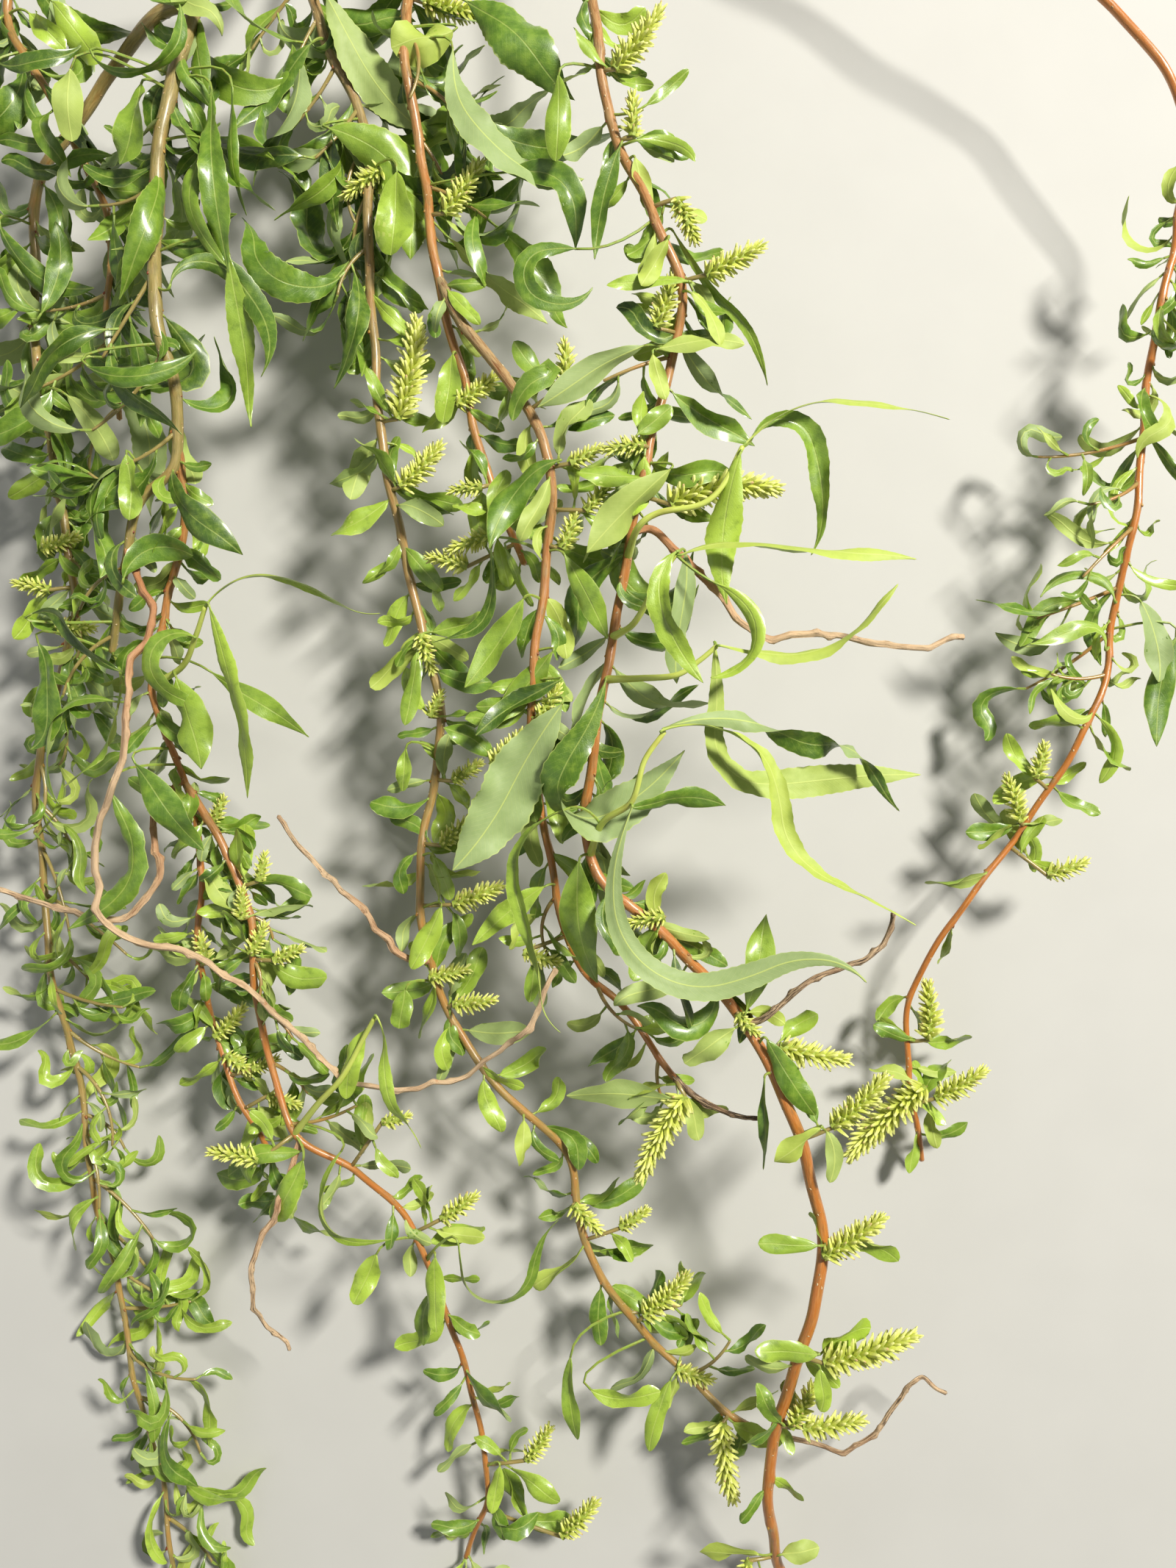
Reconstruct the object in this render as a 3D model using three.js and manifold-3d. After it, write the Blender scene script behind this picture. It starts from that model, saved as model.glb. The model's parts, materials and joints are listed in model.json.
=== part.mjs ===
// A cut branch of corkscrew willow in flower, lying down with its upper side to +Z and the cut end of its
// bough towards +Y. Sizes are in millimetres. The bough forks into twisted shoots that carry short flowering
// spurs, curled leaves and dry twigs.
import * as THREE from "three";
import Module from "manifold-3d";

const wasm = await Module();
wasm.setup();

// Places are written as [across, along, height], with across and along as they look from VIEW_HEIGHT above
// the branch's middle height, so that a twig nearer the eye isn't spread wider than it is.
const VIEW_HEIGHT = 415;
const MIDDLE_HEIGHT = 60;

// Clearances and the fineness of the solids. What forks from a stem keeps out of a bar round it.
const GAP = 0.3;
const GRID = 0.01;
const FLOOR = 0.5;
const LIMB_STEP = 18;
const LIMB_SIDES = 6;
const STEM_SIDES = 4;
const TWIG_SIDES = 3;
const FORK_SIDES = 12;
const FORK_REACH = 60;
const FORK_MARGIN = 1.5;

// Stems and twigs. Each stem's height also rises and falls, out of step with the others.
const WAVE_HEIGHT = 2.5;
const WAVE_LENGTH = 78;
const WAVE_PHASE_STEP = 1.7;
const GREEN_TWIG_RADIUS = [1.5, 0.9];
const TWIG_RADIUS = [0.9, 0.6];
const TWIG_LENGTH = [22, 38];
const TWIG_STEPS = 3;
const TWIG_TURN = [30, 70];
const TWIG_CURL = [-80, 40];
const TWIG_RISE = [-30, 30];
const TWIG_LEAF_SPACING = 9;

// Leaves.
const LEAF_THICKNESS_SHARE = 0.012;
const LEAST_LEAF_THICKNESS = 0.5;
const LEAF_SECTION_LENGTH = 36;
const MOST_LEAF_SECTIONS = 5;
const LEAF_FOLD = 22;
const LEAST_LEAF_WIDTH = 4;
const PETIOLE_RADIUS = 0.6;
const PETIOLE_LEAST_LENGTH = 9;
const LEAF_PATH_STEPS = 24;
const LEAF_FOOT = 2;
const LEAF_SPACING = 3;

// Buds. The turns are away from the stem's heading, and the spreads multiply the size that they vary.
const BUD_LEAVES = [1, 2];
const FIRST_BUD = 4;
const PITCH_SPREAD = [0.75, 1.25];
const LEAF_TURN = [20, 85];
const LEAF_ROLL = [-60, 60];
const LEAF_TWIST = [-80, 80];
const WIDTH_SPREAD = [0.85, 1.2];
const EARLY_CURL_SHARE = 0.4;

// An item that would touch another piece is tried again elsewhere, and then left out.
const LIFTS = [0, 4, -4, 8, -8, 13, -13, 18, -18];
const TRIES = [0, 1, 2, 3];

// Catkins.
const CATKIN_RADIUS = 3.6;
const CATKIN_LENGTH = [15, 25];
const CATKIN_TURN = [70, 140];
const CATKIN_RISE = [-25, 35];
const CATKIN_BEND = 16;
const CATKIN_LIFT = 3;
const STALK_RADIUS = 0.85;
const STALK_LENGTH = 7;
const FOOT_STEP = 0.25;
const MOST_FOOT_STEPS = 24;

// How the stems of each kind are dressed: the distance between buds, the shares of buds with a catkin and
// with a side twig, and the leaves' length, slimness, curl and tilt.
const DRESS = {
  spurs: { pitch: 54, catkins: 0.6, twigs: 0.1, length: [18, 29], slim: 0.3, curl: 60, tilt: 40 },
  leafy: { pitch: 54, catkins: 0.1, twigs: 0.25, length: [32, 60], slim: 0.2, curl: 170, tilt: 45 },
  young: { pitch: 47, catkins: 0, twigs: 0.25, length: [22, 38], slim: 0.17, curl: 210, tilt: 45 },
  sparse: { pitch: 40, catkins: 0.3, twigs: 0, length: [16, 26], slim: 0.3, curl: 60, tilt: 30 },
};

// The stems. A stem with `from` starts on that stem's axis, at the first place of its own route. Each is cut
// into nodes, and a node ends where the stem passes the `until` place along the branch.
const STEMS = {
  left: {
    route: [
      [-38, 398, 7], [-62, 362, 18], [-95, 322, 40], [-122, 290, 56], [-134, 267, 64], [-140, 240, 68],
      [-147, 205, 72], [-147, 165, 74], [-141, 137, 72], [-141, 111, 70], [-152, 96, 66], [-157, 72, 60],
      [-163, 45, 52],
    ],
    radius: [5.6, 1.3],
    nodes: [
      { name: "cut_bough", until: 285 },
      { name: "left_shoot_top", until: 190, dress: "leafy" },
      { name: "left_shoot_middle", until: 112, dress: "leafy" },
      { name: "left_shoot_lower", dress: "leafy" },
    ],
  },
  leftFork: {
    from: "left",
    route: [
      [-134, 267], [-147, 261, 58], [-163, 242, 44], [-176, 219, 34], [-188, 200, 29], [-188, 160, 30],
      [-183, 112, 34], [-174, 66, 34], [-181, 35, 30], [-187, -5, 26], [-184, -50, 23], [-174, -100, 21],
      [-166, -145, 17], [-155, -195, 14], [-146, -235, 10], [-138, -280, 5],
    ],
    radius: [2.5, 0.9],
    nodes: [
      { name: "left_fork_limb", until: 210 },
      { name: "left_edge_shoot_upper", until: 125, dress: "leafy" },
      { name: "left_edge_shoot_lower", until: 30, dress: "spurs" },
      { name: "far_left_shoot_upper", until: -115, dress: "young" },
      { name: "far_left_shoot_lower", dress: "young" },
    ],
  },
  leftArch: {
    from: "left",
    route: [
      [-110, 304], [-152, 308, 58], [-189, 288, 60], [-198, 262, 56], [-184, 236, 54], [-171, 210, 52],
      [-162, 185, 48], [-163, 155, 44], [-160, 125, 38],
    ],
    radius: [2.4, 1],
    nodes: [{ name: "left_arch_limb", until: 285 }, { name: "left_arch_shoot", dress: "leafy" }],
  },
  middle: {
    from: "left",
    route: [
      [-76, 346], [-95, 290, 42], [-90, 255, 48], [-76, 222, 53], [-74, 167, 54], [-70, 118, 52],
      [-59, 62, 48], [-50, 22, 45], [-57, -28, 42], [-51, -70, 40], [-31, -102, 36], [-8, -125, 34],
      [0, -158, 31], [20, -188, 29], [44, -210, 27], [62, -222, 25],
    ],
    radius: [2.7, 1.1],
    nodes: [
      { name: "middle_limb", until: 285 },
      { name: "middle_shoot_top", until: 180, dress: "leafy" },
      { name: "middle_shoot_upper", until: 60, dress: "spurs" },
      { name: "middle_shoot_middle", until: -60, dress: "spurs" },
      { name: "middle_shoot_lower", dress: "spurs" },
    ],
  },
  centre: {
    from: "left",
    route: [
      [-56, 371], [-48, 335, 34], [-58, 290, 50], [-62, 250, 58], [-57, 215, 62], [-50, 167, 63],
      [-42, 137, 62], [-36, 111, 60], [-22, 75, 55],
    ],
    radius: [2.6, 1.2],
    nodes: [
      { name: "centre_limb", until: 285 },
      { name: "centre_shoot_top", until: 180, dress: "leafy" },
      { name: "centre_shoot_lower", dress: "spurs" },
    ],
  },
  inner: {
    from: "centre",
    route: [
      [-51, 172], [-43, 157, 68], [-24, 133, 72], [-13, 108, 74], [-14, 77, 74], [-18, 44, 70],
      [-19, 12, 63], [-14, -19, 56], [-5, -58, 50], [11, -75, 47], [29, -99, 46],
    ],
    radius: [1.9, 1.2],
    nodes: [
      { name: "inner_shoot_upper", until: 50, dress: "spurs" },
      { name: "inner_shoot_lower", dress: "spurs" },
    ],
  },
  right: {
    from: "left",
    route: [
      [-45, 388], [-18, 350, 34], [-2, 305, 56], [2, 262, 70], [8, 226, 78], [22, 193, 82],
      [32, 165, 82], [26, 135, 80], [18, 102, 78], [10, 58, 75], [1, 5, 73], [2, -28, 72],
      [30, -55, 70], [55, -84, 68], [71, -118, 66], [80, -155, 62], [76, -178, 58], [66, -215, 52],
      [61, -238, 43], [64, -262, 31], [70, -290, 16], [64, -316, 4],
    ],
    radius: [3, 1.6],
    nodes: [
      { name: "right_limb", until: 285 },
      { name: "right_shoot_top", until: 165, dress: "spurs" },
      { name: "right_shoot_upper", until: 60, dress: "leafy" },
      { name: "right_shoot_middle", until: -75, dress: "leafy" },
      { name: "right_shoot_lower", until: -190 },
      { name: "right_shoot_tip", dress: "sparse" },
    ],
  },
  farRight: {
    from: "right",
    route: [
      [-18, 350], [40, 345, 50], [110, 318, 58], [170, 275, 56], [203, 225, 50], [201, 190, 46],
      [193, 158, 43], [189, 115, 42], [180, 62, 40], [175, 33, 38], [150, -13, 34], [128, -40, 31],
      [111, -70, 26], [109, -101, 19], [114, -128, 10],
    ],
    radius: [2.7, 1.1],
    nodes: [
      { name: "far_right_limb_upper", until: 292 },
      { name: "far_right_limb_lower", until: 205 },
      { name: "far_right_shoot_upper", until: 100, dress: "young" },
      { name: "far_right_shoot_middle", until: 25, dress: "leafy" },
      { name: "far_right_shoot_lower", dress: "spurs" },
    ],
  },
  lowerLeft: {
    from: "left",
    route: [
      [-141, 114], [-137, 90, 60], [-144, 60, 54], [-147, 30, 50], [-138, 2, 46], [-131, -30, 42],
      [-132, -62, 38], [-124, -94, 34], [-109, -124, 32], [-104, -148, 28],
    ],
    radius: [1.6, 1],
    nodes: [
      { name: "lower_left_shoot_upper", until: -15, dress: "leafy" },
      { name: "lower_left_shoot_lower", dress: "spurs" },
    ],
  },
  low: {
    from: "lowerLeft",
    route: [
      [-138, 0], [-124, -22, 50], [-114, -48, 49], [-112, -80, 47], [-100, -117, 45], [-78, -132, 43],
      [-60, -152, 40], [-47, -182, 34], [-38, -215, 26], [-34, -240, 17], [-42, -264, 8],
    ],
    radius: [1.6, 1],
    nodes: [
      { name: "low_shoot_upper", until: -112, dress: "spurs" },
      { name: "low_shoot_middle", until: -176, dress: "spurs" },
      { name: "low_shoot_tip", dress: "spurs" },
    ],
  },
  // Fresh green side shoots with the largest curled leaves.
  greenMain: {
    from: "right",
    route: [[1, -24], [5, -13, 84], [15, -6, 92], [19, 8, 96], [26, 18, 98]],
    radius: GREEN_TWIG_RADIUS,
    look: "young",
    nodes: [{ name: "green_spray_main" }],
  },
  greenUpper: {
    from: "right",
    route: [[13, 77], [17, 87, 86], [24, 92, 89], [38, 95, 92], [46, 102, 94], [53, 115, 96]],
    radius: GREEN_TWIG_RADIUS,
    look: "young",
    nodes: [{ name: "green_spray_upper" }],
  },
  greenSide: {
    from: "right",
    route: [[7, 35], [18, 36, 84], [30, 37, 90], [38, 42, 93], [44, 47, 95]],
    radius: GREEN_TWIG_RADIUS,
    look: "young",
    nodes: [{ name: "green_spray_side" }],
  },
  greenRising: {
    from: "right",
    route: [[9, 50], [15, 54, 86], [20, 62, 91], [24, 70, 94], [30, 78, 96]],
    radius: GREEN_TWIG_RADIUS,
    look: "young",
    nodes: [{ name: "green_spray_rising" }],
  },
  greenLeft: {
    from: "lowerLeft",
    route: [[-147, 34], [-138, 40, 62], [-133, 50, 70], [-130, 60, 76]],
    radius: GREEN_TWIG_RADIUS,
    look: "young",
    nodes: [{ name: "green_spray_left" }],
  },
  greenLow: {
    from: "low",
    route: [[-99, -118], [-92, -109, 56], [-84, -100, 63], [-77, -88, 68], [-73, -80, 72]],
    radius: GREEN_TWIG_RADIUS,
    look: "young",
    nodes: [{ name: "green_spray_low" }],
  },
  // Dead twigs, dried where they hang.
  dryLoop: {
    from: "left",
    route: [
      [-156, 79], [-149, 58, 68], [-156, 38, 74], [-157, 10, 76], [-168, -15, 74], [-166, -43, 70],
      [-151, -54, 66], [-131, -59, 62], [-100, -84, 58], [-79, -102, 57], [-47, -101, 58],
      [-20, -82, 62], [-11, -63, 66],
    ],
    radius: [1.3, 0.8],
    look: "dry",
    nodes: [{ name: "dry_twig_loop_upper", until: -55 }, { name: "dry_twig_loop_lower" }],
  },
  dryLeft: {
    from: "lowerLeft",
    route: [[-138, 2], [-147, -12, 52], [-146, -31, 54], [-160, -46, 56], [-187, -41, 52], [-216, -28, 44]],
    radius: [1.3, 0.8],
    look: "dry",
    nodes: [{ name: "dry_twig_left" }],
  },
  dryRight: {
    from: "right",
    route: [
      [14, 86], [22, 86, 78], [30, 79, 82], [45, 64, 86], [61, 50, 85], [85, 52, 83], [106, 46, 81],
      [127, 50, 80],
    ],
    radius: [1.3, 0.9],
    look: "dry",
    nodes: [{ name: "dry_twig_right" }],
  },
  dryLowerRight: {
    from: "right",
    route: [[53, -81], [63, -77, 72], [90, -62, 76], [101, -52, 78], [104, -43, 80]],
    radius: [1.2, 0.9],
    look: "dry",
    nodes: [{ name: "dry_twig_lower_right" }],
  },
  dryMiddle: {
    from: "middle",
    route: [[-54, -60], [-62, -60, 44], [-75, -45, 48], [-96, -24, 52], [-105, -11, 54]],
    radius: [1.2, 0.8],
    look: "dry",
    nodes: [{ name: "dry_twig_middle" }],
  },
  dryHanging: {
    from: "low",
    route: [[-97, -120], [-106, -145, 50], [-115, -163, 48], [-111, -182, 44], [-102, -194, 40]],
    radius: [1.1, 0.7],
    look: "dry",
    nodes: [{ name: "dry_twig_hanging" }],
  },
  dryTip: {
    from: "middle",
    route: [[62, -222], [79, -223, 26], [95, -225, 28], [108, -208, 31], [122, -208, 30]],
    radius: [1, 0.7],
    look: "dry",
    nodes: [{ name: "dry_tip_lower" }],
  },
  dryInnerTip: {
    from: "inner",
    route: [[29, -99], [38, -107, 48], [48, -112, 50], [60, -115, 52]],
    radius: [1.1, 0.8],
    look: "dry",
    nodes: [{ name: "dry_tip_inner" }],
  },
};

// The largest leaves, each placed on its stem: where its blade starts, as [across, along, height above the
// stem], its [length, width], its headings along the blade in degrees from +X, its rolls about its own midrib
// (0 has the upper side up, 90 stands on edge, 180 has the pale underside up) and its climb at each stage.
const LEVEL = [0];
const FLAT = [10];
const PALE = [175];
const ON_EDGE = [78];
const LEAVES = {
  green_spray_main: [
    [[15, -8, 3], [128, 12], [-112, -102, -84, -52, -20, 15, 25, -5, -50], [180, 180, 170, 160], LEVEL],
    [[25, 18, 2], [125, 8], [0, -3, -40, -75, -88, -60, -28, -25, -28], [75, 80, 60, 55, 70], LEVEL],
    [[26, 19, -2], [82, 12], [28, 2, -12, -25, -22, -5], [170, 165, 150, 60, 30], [0, -6]],
    [[24, 20, 5], [92, 17], [-140, -140, -140, -125, -115, -115], [180], [0, 0, 0, -170, -180]],
    [[-3, -26, 4], [42, 10], [-96, -90, -75, -62], [15], LEVEL],
    [[14, -8, -3], [32, 8], [5, 18, -5, -25], [30], LEVEL],
    [[-6, -8, 3], [88, 6], [-165, -135, -98, -72, -72, -88, -35], [70, 40, 80], [-8, 0]],
  ],
  green_spray_upper: [
    [[54, 116, 0], [68, 4], [48, 25, -5, -8, -18], ON_EDGE, LEVEL],
    [[52, 113, 2], [48, 11], [-108, -100, -92, -75], FLAT, [-6]],
    [[56, 118, -3], [62, 8], [65, 0, -70, -80, -95, -120], [30, 10, 40], [-5]],
  ],
  green_spray_side: [
    [[45, 47, 2], [64, 6], [-12, -8, 20, 45, 52], [75, 70, 50, 100], LEVEL],
    [[43, 48, -2], [116, 11], [-86, -86, -100, -105, -50, 10, 12, 4, 0], [20, 15, 40, 20, 10], [-12, 0]],
  ],
  green_spray_rising: [
    [[32, 78, 1], [74, 6], [25, 0, -8, -5, 0, -10], [80, 85, 60, 20], LEVEL],
    [[30, 79, 3], [46, 9], [-140, -95, -68, -58, -50], [15], LEVEL],
    [[33, 79, -3], [42, 10], [-80, -100, -98, -80], [150], [-12]],
  ],
  inner_shoot_lower: [
    [[-9, 27, 9], [67, 19], [-125, -122, -117, -125, -130], PALE, [0, -5]],
    [[-15, -35, 6], [32, 9], [-150, -138, -138], FLAT, LEVEL],
    [[29, -107, 3], [38, 11], [178, 176, 184], [160], LEVEL],
  ],
  middle_shoot_top: [
    [[-89, 268, 8], [60, 16], [-62, -60, -52, -40], PALE, LEVEL],
    [[-88, 223, 12], [58, 19], [-12, -25, -62, -90, -92], [25, 0, -20, -10], [0, -10]],
    [[-87, 221, 6], [32, 9], [-100, -88, -75], FLAT, [-8]],
    [[-94, 252, 6], [42, 10], [-136, -132, -128], FLAT, LEVEL],
  ],
  centre_shoot_top: [
    [[-38, 258, 5], [96, 14], [-100, -92, -80, -50, -20, 8, 25], [150, 165, 180], LEVEL],
    [[-41, 266, 12], [50, 18], [-35, -42, -50, -30], FLAT, [5, -10]],
    [[-46, 256, 3], [30, 16], [-150, -175, -160], PALE, LEVEL],
  ],
  right_shoot_top: [
    [[-4, 184, 2], [74, 9], [185, 200, 265, 335, 368, 410], [20, 0, 30], LEVEL],
    [[-10, 241, 3], [28, 9], [-88, -92, -95], FLAT, LEVEL],
    [[11, 217, 6], [36, 7], [-115, -102, -95], FLAT, [-8]],
    [[34, 171, 6], [26, 5], [172, 185, 190], FLAT, LEVEL],
    [[35, 167, 4], [20, 6], [-30, -65, -85], [150], LEVEL],
    [[29, 188, -3], [60, 4], [-60, -50, -45, -70, -80], [60, 30, 70], LEVEL],
  ],
  right_shoot_upper: [
    [[24, 148, 6], [28, 7], [10, 8, -15], [160], LEVEL],
    [[19, 149, 4], [40, 11], [-160, -145, -150], [150], LEVEL],
    [[22, 146, 6], [15, 6], [-78, -70], PALE, LEVEL],
    [[28, 107, 6], [38, 13], [-140, -135, -130], [150], LEVEL],
    [[17, 119, 6], [14, 7], [40, 38], FLAT, LEVEL],
  ],
  left_shoot_top: [
    [[-128, 236, 6], [62, 10], [-88, -84, -86, -80], FLAT, LEVEL],
    [[-131, 216, 4], [44, 8], [-110, -95, -60, -45], [25], LEVEL],
    [[-152, 238, 5], [28, 11], [-95, -100, -125], [20], LEVEL],
    [[-176, 243, 4], [24, 10], [-95, -88, -85], PALE, LEVEL],
    [[-168, 247, 8], [48, 6], [-50, -8, 30, 80, 105], [60, 80, 40], LEVEL],
  ],
  left_shoot_middle: [
    [[-122, 180, 3], [58, 9], [-86, -82, -84], FLAT, [-3]],
    [[-142, 170, 5], [66, 8], [80, 10, -50, -60, -80, -120], [20, 0, 30], LEVEL],
    [[-170, 142, 6], [40, 8], [-30, -10, 25, 50], FLAT, LEVEL],
  ],
  left_edge_shoot_upper: [
    [[-200, 190, 14], [44, 9], [-70, -50, -20, 10], FLAT, LEVEL],
    [[-186, 160, 14], [34, 9], [60, 80, 105], [30], LEVEL],
  ],
  left_shoot_lower: [
    [[-158, 70, 8], [30, 10], [80, 40, -10, -30], [30], LEVEL],
    [[-161, 28, 12], [58, 7], [165, 190, 255, 280, 310], [40, 70, 50], LEVEL],
    [[-160, 26, 15], [34, 5], [-105, -120, -130, -140], ON_EDGE, LEVEL],
    [[-189, 58, 8], [40, 7], [20, -50, -48, -20], [50, 30], LEVEL],
    [[-187, 48, 4], [42, 11], [-60, -80, -100, -150], FLAT, LEVEL],
  ],
  green_spray_left: [
    [[-129, 61, 2], [66, 9], [-72, -70, -75, -88, -92], [40, 30, 60], LEVEL],
    [[-129, 62, 0], [62, 4], [50, 20, -12, -25, -30, 10], ON_EDGE, LEVEL],
    [[-134, 50, 2], [44, 8], [150, 215, 280, 330, 345], [30, 10], [-8]],
    [[-140, 36, 8], [32, 13], [-70, -72, -85], FLAT, LEVEL],
  ],
  lower_left_shoot_upper: [
    [[-154, 7, 14], [38, 12], [-52, -55, -45], FLAT, LEVEL],
    [[-162, -3, 16], [60, 9], [-65, -62, -88, -130, -152, -150], FLAT, LEVEL],
    [[-128, 38, 8], [40, 8], [-35, -30, -40], FLAT, LEVEL],
  ],
  green_spray_low: [
    [[-98, -125, 2], [30, 7], [-170, -190, -120, -60], [20], [-8]],
    [[-97, -128, 4], [26, 10], [-110, -118, -120], FLAT, [-8]],
    [[-84, -125, 6], [52, 5], [-130, -108, -85, -45, -10, 10], [60, 30], [-8]],
    [[-72, -79, 2], [48, 5], [-60, -90, -80, -50, -70], [60, 20, 70], LEVEL],
    [[-76, -84, -3], [26, 7], [-120, -105, -95], FLAT, [-10]],
  ],
  low_shoot_middle: [
    [[-52, -161, 8], [27, 8], [-95, -88, -85], FLAT, LEVEL],
    [[-44, -157, 10], [72, 5], [-85, -82, -30, 30, 80, 70, 40], [70, 40, 60], LEVEL],
    [[-72, -160, 6], [20, 9], [-110, -120], FLAT, LEVEL],
  ],
  middle_shoot_lower: [
    [[28, -203, 6], [27, 7], [-115, -108, -95], FLAT, LEVEL],
    [[1, -206, 6], [26, 8], [-30, 5, 15], FLAT, LEVEL],
    [[-6, -195, 6], [30, 7], [-95, -85, -75], [30], LEVEL],
  ],
  right_shoot_lower: [
    [[54, -77, 6], [33, 10], [72, 82, 78], FLAT, LEVEL],
    [[61, -87, 5], [30, 9], [-62, -58, -52], FLAT, LEVEL],
    [[79, -117, 5], [19, 9], [-145, -140, -150], [150], LEVEL],
    [[81, -118, 3], [18, 6], [-55, -90, -110], PALE, LEVEL],
    [[78, -157, 5], [20, 7], [178, 176, 182], FLAT, LEVEL],
    [[84, -155, -4], [24, 8], [10, -20, -45], [30], LEVEL],
  ],
  right_shoot_tip: [
    [[78, -194, 5], [22, 8], [182, 178, 170], FLAT, LEVEL],
    [[80, -193, -3], [20, 10], [55, 30, -10], [20], LEVEL],
    [[79, -199, 4], [15, 6], [-88, -80, -110], FLAT, LEVEL],
    [[58, -262, 4], [22, 9], [165, 178, 190], [150], LEVEL],
    [[66, -262, 4], [14, 8], [15, 5], [140], LEVEL],
  ],
  far_right_shoot_middle: [
    [[179, 63, 5], [34, 6], [100, 160, 205, 240], [30], LEVEL],
    [[176, 47, 6], [32, 7], [80, 190, 205, 185], [20], LEVEL],
    [[188, 62, 2], [30, 10], [-60, -75, -100], PALE, LEVEL],
    [[200, 50, 4], [40, 11], [-110, -100, -90], FLAT, LEVEL],
  ],
};

// The clearest catkins, as [across, along, heading, length] from where the flowers start.
const CATKINS = {
  right_shoot_top: [[9, 243, 51, 24], [15, 220, 85, 16], [40, 173, 28, 20], [23, 151, 74, 22]],
  right_shoot_upper: [[18, 115, 178, 13], [28, 95, 24, 33]],
  middle_shoot_top: [[-70, 209, -145, 16]],
  centre_shoot_top: [[-49, 194, 54, 21]],
  middle_shoot_upper: [[-65, 122, 78, 32], [-64, 101, 46, 20]],
  centre_shoot_lower: [[-45, 129, 35, 17], [-34, 84, 200, 14]],
  inner_shoot_upper: [[-8, 134, 88, 16], [-9, 80, 70, 14]],
  middle_shoot_middle: [[-57, 52, -72, 15], [-47, -41, 22, 18]],
  inner_shoot_lower: [[-33, 6, 48, 16], [33, -106, -118, 30]],
  middle_shoot_lower: [[-46, -75, 5, 14], [19, -181, 45, 22], [47, -217, -82, 28]],
  far_right_shoot_lower: [[152, 2, 70, 13], [147, -13, 105, 17], [156, -31, 18, 17], [114, -104, -138, 34]],
  low_shoot_middle: [[-50, -148, 32, 15]],
  low_shoot_upper: [[-112, -128, 170, 17]],
};

// Catkins that stand clear of the leaves are pieces of their own: the stem, and the place as above.
const SEPARATE_CATKINS = {
  catkin_right_upper: ["right", 66, -89, -12, 23],
  catkin_right_second: ["right", 82, -118, 42, 24],
  catkin_right_third: ["right", 81, -160, 33, 24],
  catkin_right_fourth: ["right", 80, -197, 17, 31],
  catkin_right_fifth: ["right", 73, -219, 6, 21],
  catkin_far_right_upper: ["farRight", 116, -88, 92, 22],
  catkin_far_right_lower: ["farRight", 118, -107, 28, 20],
};

const LOOKS = {
  bark: { color: 0x8d7a4a, roughness: 0.6, metalness: 0 },
  dry: { color: 0x9a7a58, roughness: 0.85, metalness: 0 },
  leaf: { color: 0x5f962d, roughness: 0.45, metalness: 0 },
  young: { color: 0xa9c83c, roughness: 0.5, metalness: 0 },
  catkin: { color: 0xc3cd6e, roughness: 0.8, metalness: 0 },
};

const UP = new THREE.Vector3(0, 0, 1);
const radians = THREE.MathUtils.degToRad;

// A repeatable stream of numbers from 0 to 1 for one seed.
function dice(seed) {
  let state = Math.imul(seed, 2654435761) >>> 0;
  const next = () => {
    state = (Math.imul(state, 1664525) + 1013904223) >>> 0;
    return state / 4294967296;
  };
  next();
  next();
  return next;
}

const between = (low, high, share) => low + (high - low) * share;

// The value at a share from 0 to 1 of a list whose values are evenly spaced.
function along(list, share) {
  const place = share * (list.length - 1);
  const first = Math.min(Math.floor(place), Math.max(list.length - 2, 0));
  return list.length === 1 ? list[0] : between(list[first], list[first + 1], place - first);
}

const scaleAt = (height) => 1 - (height - MIDDLE_HEIGHT) / VIEW_HEIGHT;

function seen(u, v, height) {
  return new THREE.Vector3(u * scaleAt(height), v * scaleAt(height), height);
}

// Evenly spaced points along a smooth curve through the route, with the corkscrew's rise and fall.
function stations(route, step, phase) {
  const curve = new THREE.CatmullRomCurve3(route, false, "catmullrom", 0.5);
  const length = curve.getLength();
  const count = Math.max(3, Math.round(length / step));
  return curve.getSpacedPoints(count).map((point, i) => {
    const distance = (i / count) * length;
    const swell = Math.min(1, distance / WAVE_LENGTH);
    point.z += swell * WAVE_HEIGHT * Math.sin((2 * Math.PI * distance) / WAVE_LENGTH + phase);
    return point;
  });
}

// A closed body from a flat list of coordinates and triangles, turned to face out.
function body(position, triangles) {
  const make = (triVerts) =>
    new wasm.Manifold(
      new wasm.Mesh({
        numProp: 3,
        vertProperties: new Float32Array(position),
        triVerts: new Uint32Array(triVerts),
      }),
    );
  const made = make(triangles);
  if (made.volume() >= 0) return made;
  const turned = [];
  for (let i = 0; i < triangles.length; i += 3) turned.push(triangles[i], triangles[i + 2], triangles[i + 1]);
  return make(turned);
}

// Skins rings of equal size one to the next. The ends are flat, or the last is a point where one is given.
function skin(rings, tip) {
  const sides = rings[0].length;
  const position = rings.flat().flatMap((p) => [p.x, p.y, p.z]);
  const triangles = [];
  for (let ring = 0; ring + 1 < rings.length; ring++) {
    for (let side = 0; side < sides; side++) {
      const a = ring * sides + side;
      const b = ring * sides + ((side + 1) % sides);
      triangles.push(a, b, b + sides, a, b + sides, a + sides);
    }
  }
  const last = (rings.length - 1) * sides;
  for (let side = 1; side + 1 < sides; side++) {
    triangles.push(0, side + 1, side);
    if (!tip) triangles.push(last, last + side, last + side + 1);
  }
  if (tip) {
    const apex = rings.length * sides;
    position.push(tip.x, tip.y, tip.z);
    for (let side = 0; side < sides; side++) triangles.push(apex, last + side, last + ((side + 1) % sides));
  }
  return body(position, triangles);
}

// The direction of a path at each of its points.
const directions = (points) =>
  points.map((_, i) => {
    const ahead = points[Math.min(i + 1, points.length - 1)];
    const behind = points[Math.max(i - 1, 0)];
    return ahead.clone().sub(behind).normalize();
  });

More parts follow.
